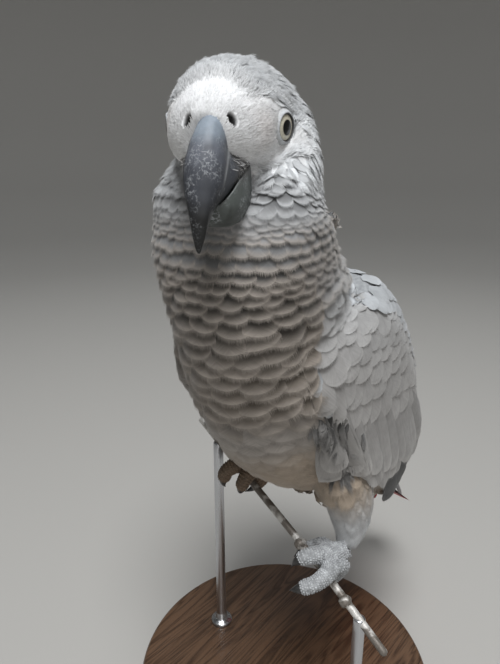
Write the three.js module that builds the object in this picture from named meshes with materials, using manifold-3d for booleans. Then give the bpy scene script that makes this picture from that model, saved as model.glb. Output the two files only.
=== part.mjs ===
// A grey parrot (Psittacus erithacus), life size, standing on a short length of wire on a display stand.
// Millimetres, +Z up. The bird faces -Y and +X is its left side. It is built round the point of the wire
// midway between its feet, and at the end it is moved so that the origin is the middle of its bounding
// box at the floor.
import * as THREE from 'three';
import { mergeVertices } from 'three/addons/utils/BufferGeometryUtils.js';
import Module from 'manifold-3d';

const wasm = await Module();
wasm.setup();

// ---- driving dimensions -------------------------------------------------------------------------

const GAP = 0.3; // between neighbouring solids
const RIM = 1; // the thickness of an arch's edges
const deg = THREE.MathUtils.degToRad;

// The wire under each foot. It climbs to the bird's right.
const LEFT_FOOT = new THREE.Vector3(29, -4.4, -11);
const RIGHT_FOOT = new THREE.Vector3(-22.5, 3.4, 13.4);
const WIRE_RADIUS = 1.7;
const WIRE_REACH = 40; // past each foot
const WIRE_SAG = 3; // of its low end

// The head's own frame has its origin midway between the corneas.
const EYES_MIDDLE = new THREE.Vector3(8, -42, 174);
const HEAD_YAW = deg(27); // to the bird's left
const HEAD_PITCH = deg(10); // down
const EYE_RADIUS = 5.4;
const EYE_SPREAD = 20.6; // from the middle plane to the cornea
const EYE_AXIS = deg(62); // between straight ahead and each eye's axis

// Where the body is divided: a point on each cut, and the cut's lean from level, front down.
const HEAD_CUT = { at: new THREE.Vector3(8, -34, 152), lean: deg(24) };
const NECK_CUT = { at: new THREE.Vector3(6, -24, 122), lean: deg(24) };
const RUMP_CUT = { at: new THREE.Vector3(0, 44, 24), lean: deg(48) };
// The wing's coverts end across it, and its primaries come out from under the secondaries.
const COVERTS_CUT = { at: new THREE.Vector3(40, 20, 62), lean: deg(40) };

// The stand.
const PERCH_HEIGHT = 106; // from the floor to the construction origin
const BASE_RADIUS = 76;
const BASE_THICKNESS = 12;
const BASE_EDGE = 2.5; // the bevel round its top
const BASE_BEHIND = 8; // its centre is this far behind the feet
const ROD_RADIUS = 2.6;
const ROD_PAST_FOOT = 24;

// How finely each surface is faceted.
const FACETS = {
  trunk: { rings: 22, sides: 20 },
  skull: { rings: 13, sides: 18 },
  tail: { rings: 7, sides: 12 },
  upperBill: { rings: 11, sides: 12 },
  lowerBill: { rings: 7, sides: 12 },
  wing: { rings: 12, sides: 18 },
  primaries: { rings: 8, sides: 8 },
  thigh: { rings: 10, sides: 14 },
  sole: { rings: 7, sides: 10 },
  toe: { rings: 5, sides: 8 },
  claw: { rings: 4, sides: 6 },
  wire: { rings: 10, sides: 10 },
};
const EYE_FACETS = [14, 9]; // round it, and from pole to pole
const ROD_SIDES = 16;
const BASE_SIDES = 32;

// ---- materials ----------------------------------------------------------------------------------

const finish = (color, roughness, metalness = 0) =>
  new THREE.MeshStandardMaterial({ color, roughness, metalness });

const MATERIALS = {
  plumage: finish(0xa9a9ab, 0.9),
  wing: finish(0x9fa5a9, 0.85),
  primaries: finish(0x4d5156, 0.8),
  tail: finish(0xa51e22, 0.8),
  thigh: finish(0xc9c9ca, 0.9),
  bill: finish(0x33373b, 0.5),
  eye: finish(0xd8d3a8, 0.15),
  foot: finish(0x8b8f93, 0.7),
  claw: finish(0x26262a, 0.45),
  wire: finish(0xa8a399, 0.5, 0.4),
  rod: finish(0xb9bcc0, 0.3, 0.9),
  base: finish(0x4a3527, 0.55),
};

// ---- solids -------------------------------------------------------------------------------------

const X = new THREE.Vector3(1, 0, 0);

// A closed geometry as a manifold-3d solid, with its faces turned outwards.
function solid(geometry) {
  const bare = geometry.clone();
  bare.deleteAttribute('normal');
  bare.deleteAttribute('uv');
  const merged = mergeVertices(bare, 1e-4);
  const triVerts = new Uint32Array(merged.index.array);
  const vertProperties = new Float32Array(merged.attributes.position.array);
  const made = new wasm.Manifold(new wasm.Mesh({ numProp: 3, vertProperties, triVerts }));
  if (made.volume() > 0) return made;
  for (let i = 0; i < triVerts.length; i += 3) {
    [triVerts[i + 1], triVerts[i + 2]] = [triVerts[i + 2], triVerts[i + 1]];
  }
  return new wasm.Manifold(new wasm.Mesh({ numProp: 3, vertProperties, triVerts }));
}

// A solid as a mesh named after its sub-part. A cut can leave loose slivers, so only the largest
// piece is kept.
function node(name, shape, material) {
  const largest = shape.decompose().reduce((a, b) => (a.volume() > b.volume() ? a : b));
  const { vertProperties, triVerts } = largest.getMesh();
  const geometry = new THREE.BufferGeometry();
  geometry.setAttribute('position', new THREE.BufferAttribute(vertProperties, 3));
  geometry.setIndex(new THREE.BufferAttribute(triVerts, 1));
  geometry.computeVertexNormals();
  const mesh = new THREE.Mesh(geometry, material);
  mesh.name = name;
  return mesh;
}

// One point of an oval ring, as [width, height]. The ring's size is its half width and its reach above
// and below; a reach below that is negative hollows the oval to an arch. `grow` swells it, and `blunt`
// over 1 squares it.
function ringPoint(step, { sides, grow, blunt }, [half, above, below]) {
  const part = (value) => Math.sign(value) * Math.abs(value) ** (1 / blunt);
  if (below >= 0) {
    const angle = ((step + 0.5) / sides) * 2 * Math.PI;
    const reach = angle < Math.PI ? above : below;
    return [(half + grow) * part(Math.cos(angle)), (reach + grow) * part(Math.sin(angle))];
  }
  const outer = step < sides / 2;
  const angle = ((outer ? step : sides - 1 - step) / (sides / 2 - 1)) * Math.PI;
  const width = outer ? half + grow : half - RIM - grow;
  const height = outer ? above + grow : -below - grow;
  return [width * part(Math.cos(angle)), height * part(Math.sin(angle))];
}

// A closed surface over rings with an even number of sides. Each station gives a ring's centre and
// size, and smooth curves through the stations give the rings between them. `across` is the direction
// of the width; above is across x the way the stations run.
function loft(stations, { rings, sides, across = X, grow = 0, blunt = 1 }) {
  const centres = new THREE.CatmullRomCurve3(stations.map((s) => new THREE.Vector3(...s.at)));
  const sizes = new THREE.CatmullRomCurve3(stations.map((s) => {
    const above = s.above ?? s.half;
    return new THREE.Vector3(s.half, above, s.below ?? above);
  }));
  const points = [];
  for (let ring = 0; ring <= rings; ring++) {
    const along = ring / rings;
    const tangent = centres.getTangent(along);
    const past = grow * (ring === rings) - grow * (ring === 0);
    const centre = centres.getPoint(along).addScaledVector(tangent, past);
    const up = new THREE.Vector3().crossVectors(across, tangent).normalize();
    const side = new THREE.Vector3().crossVectors(tangent, up).normalize();
    const size = sizes.getPoint(along).toArray();
    for (let step = 0; step < sides; step++) {
      const [width, height] = ringPoint(step, { sides, grow, blunt }, size);
      points.push(centre.clone().addScaledVector(side, width).addScaledVector(up, height));
    }
  }

  const index = [];
  for (let step = 0; step < sides; step++) {
    const next = (step + 1) % sides;
    for (let ring = 0; ring < rings; ring++) {
      const [a, b] = [ring * sides + step, ring * sides + next];
      index.push(a, b, b + sides, a, b + sides, a + sides);
    }
  }
  // Each end is closed by a ladder between its upper half and its lower half.
  const last = rings * sides;
  for (let step = 0; step < sides / 2 - 1; step++) {
    const [a, b, c, d] = [step, step + 1, sides - 2 - step, sides - 1 - step];
    index.push(b, a, c, c, a, d);
    index.push(last + a, last + b, last + c, last + a, last + c, last + d);
  }
  return new THREE.BufferGeometry().setFromPoints(points).setIndex(index);
}

// The two parts of a solid above and below a cut.
function divide(shape, { at, lean }) {
  const size = 400; // more than the bird
  const half = (way) => {
    const box = new THREE.BoxGeometry(size, size, size).translate(0, 0, way * (size + GAP) / 2);
    return solid(box.rotateX(lean).translate(...at.toArray()));
  };
  return [shape.intersect(half(1)), shape.intersect(half(-1))];
}

// ---- body ---------------------------------------------------------------------------------------

const TRUNK_BLUNT = 1.16;
const TAIL_BLUNT = 1.6;

// From inside the crown to the root of the tail; above is the back and below the breast.
const TRUNK = [
  { at: [8, -20, 189], half: 5, above: 5, below: 4 },
  { at: [8, -21, 184], half: 15, above: 13, below: 8 },
  { at: [7, -24, 172], half: 24.5, above: 20, below: 6 },
  { at: [4.5, -28.5, 159], half: 32, above: 26, below: 14 },
  { at: [3, -32.4, 146], half: 37.2, above: 31, below: 22 },
  { at: [4.2, -28, 128], half: 34.3, above: 31, below: 30 },
  { at: [4.5, -16, 105], half: 32, above: 35, below: 38 },
  { at: [2.5, -5, 85], half: 31.5, above: 37, below: 42 },
  { at: [1.5, 7, 65], half: 31, above: 36, below: 43 },
  { at: [1, 21, 46], half: 31, above: 31, below: 38 },
  { at: [0, 37, 29], half: 26.5, above: 23, below: 28 },
  { at: [0, 54, 14], half: 20, above: 14, below: 16 },
  { at: [0, 72, -2], half: 14, above: 5, below: 7 },
];

const TAIL = [
  { at: [0, 52, 14], half: 14, above: 10, below: 11 },
  { at: [0, 70, -1], half: 17, above: 8, below: 9 },
  { at: [0, 92, -19], half: 17.5, above: 4.4, below: 5 },
  { at: [0, 114, -38], half: 17.5, above: 2.4, below: 2.6 },
  { at: [0, 132, -53], half: 16.5, above: 1.2, below: 1.4 },
  { at: [0, 137, -57], half: 12, above: 0.6, below: 0.6 },
];

// ---- head ---------------------------------------------------------------------------------------

const HEAD_FRAME = new THREE.Matrix4()
  .makeTranslation(EYES_MIDDLE)
  .multiply(new THREE.Matrix4().makeRotationZ(HEAD_YAW))
  .multiply(new THREE.Matrix4().makeRotationX(HEAD_PITCH));

const inHead = (geometry) => geometry.applyMatrix4(HEAD_FRAME);

// The bill turns and leans a little more to the left than the head does.
const BILL_YAW = deg(4.6);
const BILL_LEAN = deg(4);
const LOWER_FRAME = HEAD_FRAME.clone().multiply(new THREE.Matrix4().makeRotationZ(BILL_YAW));
const UPPER_FRAME = LOWER_FRAME.clone().multiply(new THREE.Matrix4().makeRotationY(BILL_LEAN));

// From the cere back to the nape.
const SKULL = [
  { at: [0, -24.5, 0], half: 7.5, above: 7.5, below: 6 },
  { at: [0, -18.5, 0], half: 12.5, above: 13.5, below: 9 },
  { at: [0, -10, -1], half: 16.5, above: 18.8, below: 13 },
  { at: [0, 0, 0], half: 19.6, above: 21.5, below: 19 },
  { at: [0, 13, -1], half: 24, above: 22, below: 24 },
  { at: [0, 25, -4], half: 24, above: 20.5, below: 24 },
  { at: [0, 35, -9], half: 18, above: 17, below: 20 },
  { at: [0, 42, -15], half: 4, above: 4, below: 4 },
];

// From the tip back to the root inside the face; above is the culmen.
const UPPER_BILL = [
  { at: [0, -36.8, -28.5], half: 0.8, above: 0.8, below: 0.8 },
  { at: [0, -35.8, -21.5], half: 3.2, above: 3.1, below: 3 },
  { at: [0, -33.4, -14.5], half: 5.2, above: 5, below: 5 },
  { at: [0, -28.5, -8], half: 6.9, above: 7.8, below: 8 },
  { at: [0, -22, -3], half: 8.2, above: 9.8, below: 10 },
  { at: [0, -14, 0.5], half: 8.8, above: 9.5, below: 11 },
];

// From the front edge back to the hinge.
const LOWER_BILL = [
  { at: [0, -27, -17.5], half: 4.4, above: 1.6, below: 2.5 },
  { at: [0, -24.5, -18.5], half: 7.6, above: 3.2, below: 5.2 },
  { at: [0, -18, -18.5], half: 10.6, above: 6.5, below: 8 },
  { at: [0, -10, -17.5], half: 12, above: 7.5, below: 9.5 },
  { at: [0, -1, -16], half: 11, above: 7, below: 9 },
];

function eye(side, grow = 0) {
  const ball = new THREE.SphereGeometry(EYE_RADIUS + grow, ...EYE_FACETS);
  const inwards = EYE_RADIUS * Math.sin(EYE_AXIS);
  const backwards = EYE_RADIUS * Math.cos(EYE_AXIS);
  return solid(inHead(ball.translate(side * (EYE_SPREAD - inwards), backwards, 0)));
}

// ---- wings --------------------------------------------------------------------------------------

// The folded wing is a lobe over the side of the trunk, which starts at the shoulder and runs down and
// back. Its stations give how far along that way they are, where its front and rear edges lie across
// the way, how far out from the middle plane its own middle is, and how far it bulges from there.
const WING_START = new THREE.Vector3(0, -5, 118);
const WING_FALL = deg(52.8); // below level
const WING_WAY = new THREE.Vector3(0, Math.cos(WING_FALL), -Math.sin(WING_FALL));
const WING_REARWARDS = new THREE.Vector3(0, Math.sin(WING_FALL), Math.cos(WING_FALL));
const WING_THICKNESS = 8;
const WING_BLUNT = 1.8;
const WING = [
  { along: -7, front: -14, rear: 6, out: 17, bulge: 11 },
  { along: 2, front: -40, rear: 17, out: 14, bulge: 23 },
  { along: 16, front: -50, rear: 25, out: 12, bulge: 31 },
  { along: 42, front: -53, rear: 31, out: 9, bulge: 35.5 },
  { along: 72, front: -52, rear: 30, out: 7, bulge: 37 },
  { along: 98, front: -48, rear: 24, out: 6, bulge: 35.5 },
  { along: 118, front: -43, rear: 17, out: 6, bulge: 31.5 },
  { along: 132, front: -36, rear: 8, out: 7, bulge: 25 },
  { along: 142, front: -26, rear: -4, out: 9, bulge: 14 },
];
// The primaries come out from under the secondaries and lean like a roof over the tail.
const PRIMARIES_LEAN = deg(38);
const PRIMARIES_BLUNT = 1.3;
const PRIMARIES = [
  { along: 100, front: -14, rear: 12, out: 20, bulge: 5 },
  { along: 130, front: -12, rear: 13, out: 17, bulge: 3.6 },
  { along: 165, front: -6, rear: 13, out: 13, bulge: 2.6 },
  { along: 196, front: 2, rear: 12, out: 9, bulge: 1.4 },
  { along: 206, front: 6, rear: 10, out: 8, bulge: 0.7 },
];

// A lobe stays on its own side of the middle plane. `lean` lays its rear edge inwards, and
// `thickness` hollows it to an arched shell.
function wingLobe(side, lobe, { lean = 0, thickness, ...options }) {
  const stations = lobe.map(({ along, front, rear, out, bulge }) => ({
    at: WING_START.clone()
      .addScaledVector(WING_WAY, along)
      .addScaledVector(WING_REARWARDS, (front + rear) / 2)
      .setX(side * out)
      .toArray(),
    half: (rear - front) / 2,
    above: bulge,
    below: thickness ? thickness - bulge : bulge,
  }));
  const across = WING_REARWARDS.clone().applyAxisAngle(WING_WAY, side * lean).multiplyScalar(-side);
  return solid(loft(stations, { across, ...options })).trimByPlane([side, 0, 0], GAP / 2);
}

// ---- legs and feet ------------------------------------------------------------------------------

const ALONG_WIRE = new THREE.Vector3().subVectors(LEFT_FOOT, RIGHT_FOOT).normalize(); // to the left
const FORWARD = new THREE.Vector3(ALONG_WIRE.y, -ALONG_WIRE.x, 0).normalize(); // level, across the wire
const OFF_WIRE = new THREE.Vector3().crossVectors(ALONG_WIRE, FORWARD).negate(); // up, square to the wire

// Thighs, from inside the body down to the ankle, measured from the wire under the foot: outwards,
// backwards and up.
const LEFT_THIGH = [
  { at: [-6, 14, 56], half: 12, above: 14 },
  { at: [0, 15, 41], half: 13.5, above: 15 },
  { at: [3, 16.5, 26], half: 11.5, above: 12 },
  { at: [4, 16, 13], half: 8, above: 8 },
  { at: [3.4, 13, 6], half: 5.2, above: 5.2 },
];
const RIGHT_THIGH = [
  { at: [5, 15, 40], half: 12, above: 13 },
  { at: [1, 16, 29], half: 11.5, above: 12 },
  { at: [-2, 16, 18], half: 8.4, above: 8.6 },
  { at: [-3, 14.5, 11], half: 6, above: 6 },
  { at: [-3, 12.5, 7.5], half: 4.8, above: 4.8 },
];

// The sole of the foot, from the ankle to the roots of the front toes, and each toe from the sole to
// its claw: outwards along the wire, forwards across it, and up off it. A toe has its half width at
// the root and at the tip, and its claw's length.
const LEFT_SOLE = [
  { at: [2.4, -14, 8], half: 4, above: 4 },
  { at: [1, -9, 7.4], half: 5, above: 4.4 },
  { at: [-1, -3, 6.4], half: 6.2, above: 4 },
  { at: [-2, 3, 5.8], half: 5.6, above: 3.6 },
];
const RIGHT_SOLE = [
  { at: [2.4, -14, 8], half: 4, above: 4 },
  { at: [2, -9, 7.4], half: 5.2, above: 4.4 },
  { at: [1.2, -3, 6.4], half: 6.6, above: 4 },
  { at: [0.8, 3, 5.8], half: 6, above: 3.6 },
];
const OUTER_BACK_TOE = {
  root: 3.6, tip: 2.8, claw: 7,
  line: [[3.2, -4, 6], [4.2, -7.6, 3.6], [4.6, -7.8, -1.6], [4.2, -4.6, -5.6]],
};
const LEFT_TOES = {
  toe_2: {
    root: 4.1, tip: 3.2, claw: 4,
    line: [[-3.5, -1, 6.2], [-5, 3.5, 7.2], [-6.8, 7.6, 6.4], [-7.8, 10.2, 4]],
  },
  toe_3: {
    root: 4.2, tip: 3.1, claw: 4,
    line: [[1.5, -2, 6.4], [4, 3.5, 6.4], [4, 10.5, 4], [1.2, 16.5, 0.6]],
  },
  toe_1: {
    root: 3.5, tip: 2.6, claw: 6,
    line: [[-3, -4, 6], [-7.5, -7.4, 3.5], [-11, -7.2, -2], [-13, -3.6, -5.2]],
  },
  toe_4: OUTER_BACK_TOE,
};
const RIGHT_TOES = {
  toe_2: {
    root: 4.1, tip: 3.1, claw: 6,
    line: [[-2, 0, 6], [-3.8, 4, 6.6], [-5, 6.8, 4.2], [-5.4, 6.8, -0.6]],
  },
  toe_3: {
    root: 4.2, tip: 3.2, claw: 6.5,
    line: [[2.6, 1, 6], [3.6, 6.5, 6.2], [4.4, 10, 3], [4.3, 9.8, -3.6]],
  },
  toe_1: {
    root: 3.5, tip: 2.8, claw: 6,
    line: [[-3, -4, 6], [-5, -7.6, 3.5], [-5.5, -7.6, -2], [-5.5, -4.6, -5.6]],
  },
  toe_4: OUTER_BACK_TOE,
};

// A point in the frame of the left foot (side 1) or the right one (side -1).
function onWire(foot, side, [outwards, forwards, up]) {
  return foot
    .clone()
    .addScaledVector(ALONG_WIRE, side * outwards)
    .addScaledVector(FORWARD, forwards)
    .addScaledVector(OFF_WIRE, up);
}

function toeSolid(foot, side, { line, root, tip }, grow = 0) {
  const stations = line.map((point, i) => ({
    at: onWire(foot, side, point).toArray(),
    half: THREE.MathUtils.lerp(root, tip, i / (line.length - 1)),
  }));
  return solid(loft(stations, { ...FACETS.toe, across: ALONG_WIRE, grow }));
}

const CLAW_WIDTHS = [0.74, 0.6, 0.38, 0.13]; // from root to point, of the toe's width at its tip
const CLAW_CURL = 0.4; // of its length

// A claw leaves the toe's end along the toe and curls the way the toe does.
function clawSolid(foot, side, { line, tip, claw }) {
  const [before, end] = line.slice(-2).map((point) => onWire(foot, side, point));
  const ahead = new THREE.Vector3().subVectors(end, before).normalize();
  const curl = new THREE.Vector3().subVectors(foot, end).projectOnPlane(ahead).normalize();
  const sideways = new THREE.Vector3().crossVectors(ahead, curl);
  const stations = CLAW_WIDTHS.map((width, i) => {
    const share = i / (CLAW_WIDTHS.length - 1);
    return {
      at: end.clone()
        .addScaledVector(ahead, GAP + claw * share)
        .addScaledVector(curl, CLAW_CURL * claw * share ** 2)
        .toArray(),
      half: width * tip,
    };
  });
  return solid(loft(stations, { ...FACETS.claw, across: sideways }));
}

function thighSolid(foot, thigh, grow = 0) {
  const place = (point) => foot.clone().add(new THREE.Vector3(...point)).toArray();
  const stations = thigh.map((s) => ({ ...s, at: place(s.at) }));
  return solid(loft(stations, { ...FACETS.thigh, grow }));
}

function leg(word, foot, side, thigh, soleLine, toes, body) {
  const wireCutter = wireSolid(WIRE_RADIUS + GAP);
  const sole = soleLine.map((s) => ({ ...s, at: onWire(foot, side, s.at).toArray() }));
  const soleSolid = (grow) => solid(loft(sole, { ...FACETS.sole, across: ALONG_WIRE, grow }));
  const thighCutter = thighSolid(foot, thigh, GAP);
  const freeSole = soleSolid(0).subtract(thighCutter).subtract(wireCutter).subtract(body);
  const meshes = [
    node(`thigh_${word}`, thighSolid(foot, thigh).subtract(body), MATERIALS.thigh),
    node(`foot_${word}`, freeSole, MATERIALS.foot),
  ];
  let taken = soleSolid(GAP).add(thighCutter).add(wireCutter).add(body);
  for (const [name, toe] of Object.entries(toes)) {
    const shape = toeSolid(foot, side, toe).subtract(taken);
    meshes.push(node(`${name}_${word}`, shape, MATERIALS.foot));
    taken = taken.add(toeSolid(foot, side, toe, GAP));
  }
  for (const [name, toe] of Object.entries(toes)) {
    const shape = clawSolid(foot, side, toe).subtract(taken);
    meshes.push(node(`${name.replace('toe', 'claw')}_${word}`, shape, MATERIALS.claw));
  }
  return meshes;
}

// ---- stand --------------------------------------------------------------------------------------

function wireSolid(radius) {
  const highEnd = RIGHT_FOOT.clone().addScaledVector(ALONG_WIRE, -WIRE_REACH);
  const lowEnd = LEFT_FOOT.clone().addScaledVector(ALONG_WIRE, WIRE_REACH);
  lowEnd.z -= WIRE_SAG;
  const line = [highEnd, RIGHT_FOOT, LEFT_FOOT, lowEnd];
  const stations = line.map((point) => ({ at: point.toArray(), half: radius }));
  return solid(loft(stations, { ...FACETS.wire, across: FORWARD }));
}

function stand() {
  const floor = -PERCH_HEIGHT;
  const profile = [
    [0, 0],
    [BASE_RADIUS, 0],
    [BASE_RADIUS, BASE_THICKNESS - BASE_EDGE],
    [BASE_RADIUS - BASE_EDGE, BASE_THICKNESS],
    [0, BASE_THICKNESS],
  ].map((point) => new THREE.Vector2(...point));
  const disc = new THREE.LatheGeometry(profile, BASE_SIDES)
    .rotateX(Math.PI / 2)
    .translate(0, BASE_BEHIND, floor);
  const meshes = [
    node('stand_base', solid(disc), MATERIALS.base),
    node('stand_perch_wire', wireSolid(WIRE_RADIUS), MATERIALS.wire),
  ];
  const bottom = floor + BASE_THICKNESS + GAP;
  for (const [word, foot, way] of [['left', LEFT_FOOT, 1], ['right', RIGHT_FOOT, -1]]) {
    const top = foot.clone().addScaledVector(ALONG_WIRE, way * ROD_PAST_FOOT);
    const height = top.z - bottom;
    const rod = new THREE.CylinderGeometry(ROD_RADIUS, ROD_RADIUS, height, ROD_SIDES)
      .rotateX(Math.PI / 2)
      .translate(top.x, top.y, bottom + height / 2);
    const shape = solid(rod).subtract(wireSolid(WIRE_RADIUS + GAP));
    meshes.push(node(`stand_rod_${word}`, shape, MATERIALS.rod));
  }
  return meshes;
}

// ---- assembly -----------------------------------------------------------------------------------

const trunkSolid = (grow) => solid(loft(TRUNK, { ...FACETS.trunk, grow, blunt: TRUNK_BLUNT }));
const skullSolid = (grow) => solid(inHead(loft(SKULL, { ...FACETS.skull, grow })));
const bodySolid = (grow) => trunkSolid(grow).add(skullSolid(grow));
const tailSolid = (grow) => solid(loft(TAIL, { ...FACETS.tail, grow, blunt: TAIL_BLUNT }));
const upperShape = (grow) => loft(UPPER_BILL, { ...FACETS.upperBill, grow });
const upperSolid = (grow) => solid(upperShape(grow).applyMatrix4(UPPER_FRAME));
const lowerSolid = () => solid(loft(LOWER_BILL, FACETS.lowerBill).applyMatrix4(LOWER_FRAME));

const parrot = new THREE.Group();
const aroundBody = bodySolid(GAP);

const sockets = eye(1, GAP).add(eye(-1, GAP));
const [head, belowHead] = divide(bodySolid(0).subtract(sockets), HEAD_CUT);
const [neck, belowNeck] = divide(belowHead, NECK_CUT);
const [trunk, rump] = divide(belowNeck, RUMP_CUT);
parrot.add(
  node('head', head, MATERIALS.plumage),
  node('neck', neck, MATERIALS.plumage),
  node('trunk', trunk, MATERIALS.plumage),
  node('rump', rump, MATERIALS.plumage),
  node('tail', tailSolid(0).subtract(aroundBody), MATERIALS.tail),
  node('eye_left', eye(1), MATERIALS.eye),
  node('eye_right', eye(-1), MATERIALS.eye),
  node('bill_upper', upperSolid(0).subtract(aroundBody), MATERIALS.bill),
  node('bill_lower', lowerSolid().subtract(aroundBody).subtract(upperSolid(GAP)), MATERIALS.bill),
);

let aroundWings = aroundBody;
for (const [word, side] of [['left', 1], ['right', -1]]) {
  const shell = { ...FACETS.wing, blunt: WING_BLUNT, thickness: WING_THICKNESS };
  const wing = (grow) => wingLobe(side, WING, { ...shell, grow });
  const bodyAndTail = aroundBody.add(tailSolid(GAP));
  const [coverts, secondaries] = divide(wing(0).subtract(bodyAndTail), COVERTS_CUT);
  const blade = { ...FACETS.primaries, blunt: PRIMARIES_BLUNT, lean: PRIMARIES_LEAN };
  const primaries = wingLobe(side, PRIMARIES, blade).subtract(wing(GAP)).subtract(bodyAndTail);
  parrot.add(
    node(`wing_${word}_coverts`, coverts, MATERIALS.wing),
    node(`wing_${word}_secondaries`, secondaries, MATERIALS.wing),
    node(`wing_${word}_primaries`, primaries, MATERIALS.primaries),
  );
  aroundWings = aroundWings.add(wing(GAP));
}

parrot.add(...leg('left', LEFT_FOOT, 1, LEFT_THIGH, LEFT_SOLE, LEFT_TOES, aroundWings));
parrot.add(...leg('right', RIGHT_FOOT, -1, RIGHT_THIGH, RIGHT_SOLE, RIGHT_TOES, aroundWings));
parrot.add(...stand());

// The origin goes to the middle of the bounding box, on the floor.
parrot.updateMatrixWorld(true);
const box = new THREE.Box3().setFromObject(parrot);
const middle = box.getCenter(new THREE.Vector3());
for (const mesh of parrot.children) mesh.geometry.translate(-middle.x, -middle.y, -box.min.z);

export default parrot;
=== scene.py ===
"""A grey parrot gripping a length of wire on a display stand, life size.

The solids of the frame give the outline to the tips of the feathers. One skin lies a little inside
them, and feathers of mesh are laid over it in rows, each row overlapping the next. The bill, eyes,
feet, wire and stand are modelled again, finer, in the places that the solids hold.

Lengths are millimetres in the bird's own frame: +Z up, facing -Y, +X its left, from the point of the
wire midway between the feet. new_mesh() turns them to metres in the shared frame.
"""

import math

import bmesh
import bpy
import numpy as np
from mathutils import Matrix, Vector
from mathutils.bvhtree import BVHTree


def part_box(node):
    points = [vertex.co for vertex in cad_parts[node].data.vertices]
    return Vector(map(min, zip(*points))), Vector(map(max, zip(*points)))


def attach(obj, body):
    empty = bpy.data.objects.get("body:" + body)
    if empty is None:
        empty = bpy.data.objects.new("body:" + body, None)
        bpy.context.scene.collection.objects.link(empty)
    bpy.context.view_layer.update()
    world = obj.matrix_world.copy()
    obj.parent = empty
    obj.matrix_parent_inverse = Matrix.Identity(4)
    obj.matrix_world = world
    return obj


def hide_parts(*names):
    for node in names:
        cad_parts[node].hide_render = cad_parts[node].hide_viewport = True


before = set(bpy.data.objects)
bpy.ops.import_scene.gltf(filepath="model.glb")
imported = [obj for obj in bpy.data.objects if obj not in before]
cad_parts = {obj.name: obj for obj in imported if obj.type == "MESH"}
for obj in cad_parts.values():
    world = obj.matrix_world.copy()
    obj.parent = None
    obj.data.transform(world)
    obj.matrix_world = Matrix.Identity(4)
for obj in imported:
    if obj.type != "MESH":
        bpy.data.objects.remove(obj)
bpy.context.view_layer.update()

# ---- the bird's own frame ------------------------------------------------------------------------

MM = 0.001
PERCH_HEIGHT = 106  # of the origin above the floor
BASE_BEHIND = 8  # the stand's centre is this far behind the origin
BASE_RADIUS = 76
BASE_THICKNESS = 12

EYE_RADIUS = 5.4
EYE_AXIS = math.radians(62)  # between straight ahead and each eye's axis
HEAD_PITCH = math.radians(10)  # down

rng = np.random.default_rng(7)


def box_middle(name):
    low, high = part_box(name)
    return (np.array(low) + np.array(high)) / 2


def find_origin():
    middle = box_middle("stand_base")
    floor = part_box("stand_base")[0].z
    return np.array([middle[0], middle[1] - BASE_BEHIND * MM, floor + PERCH_HEIGHT * MM])


ORIGIN = find_origin()


def to_bird(point):
    return (np.asarray(point, float) - ORIGIN) / MM


def unit(vectors):
    vectors = np.asarray(vectors, float)
    return vectors / np.maximum(np.linalg.norm(vectors, axis=-1, keepdims=True), 1e-9)


def mix(a, b, share):
    return a + (b - a) * share


def ease(low, high, x):
    share = np.clip((x - low) / (high - low), 0, 1)
    return share * share * (3 - 2 * share)


# The head's frame starts midway between the corneas: +X left, +Y back and +Z up.
EYE_LEFT = to_bird(box_middle("eye_left"))
EYE_RIGHT = to_bird(box_middle("eye_right"))
HEAD_LEFT = unit(EYE_LEFT - EYE_RIGHT)
HEAD_LEVEL = np.cross([0, 0, 1], HEAD_LEFT)
HEAD_BACK = math.cos(HEAD_PITCH) * HEAD_LEVEL + math.sin(HEAD_PITCH) * np.array([0, 0, 1])
HEAD_UP = np.cross(HEAD_LEFT, HEAD_BACK)
HEAD = np.array([HEAD_LEFT, HEAD_BACK, HEAD_UP])
HEAD_AT = (EYE_LEFT + EYE_RIGHT) / 2 - HEAD_BACK * EYE_RADIUS * math.cos(EYE_AXIS)


def from_head(points):
    return np.asarray(points, float) @ HEAD + HEAD_AT


def to_head(points):
    return (np.asarray(points, float) - HEAD_AT) @ HEAD.T


# ---- meshes --------------------------------------------------------------------------------------


def new_mesh(name, points, faces):
    """A smooth mesh object from points in millimetres and faces, all triangles or all quads."""
    faces = np.asarray(faces, np.int32)
    mesh = bpy.data.meshes.new(name)
    mesh.vertices.add(len(points))
    mesh.vertices.foreach_set("co", (np.asarray(points) * MM + ORIGIN).astype(np.float32).ravel())
    mesh.loops.add(faces.size)
    mesh.loops.foreach_set("vertex_index", faces.ravel())
    mesh.polygons.add(len(faces))
    mesh.polygons.foreach_set("loop_start", np.arange(len(faces), dtype=np.int32) * faces.shape[1])
    mesh.polygons.foreach_set("use_smooth", np.ones(len(faces), bool))
    mesh.update(calc_edges=True)
    mesh.validate()
    made = bpy.data.objects.new(name, mesh)
    bpy.context.scene.collection.objects.link(made)
    return made


def paint(made, name, kind, values):
    """Stores one value for each vertex: kind is FLOAT_COLOR, FLOAT_VECTOR or FLOAT."""
    attribute = made.data.attributes.new(name, kind, "POINT")
    values = np.asarray(values, np.float32)
    if kind == "FLOAT_COLOR":
        values = np.column_stack([values, np.ones(len(values), np.float32)])
        attribute.data.foreach_set("color", values.ravel())
    elif kind == "FLOAT_VECTOR":
        attribute.data.foreach_set("vector", values.ravel())
    else:
        attribute.data.foreach_set("value", values.ravel())


def add_piece(made, material, replaces=()):
    made.data.materials.append(material)
    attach(made, "root")
    if replaces:
        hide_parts(*replaces)
    return made


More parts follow.
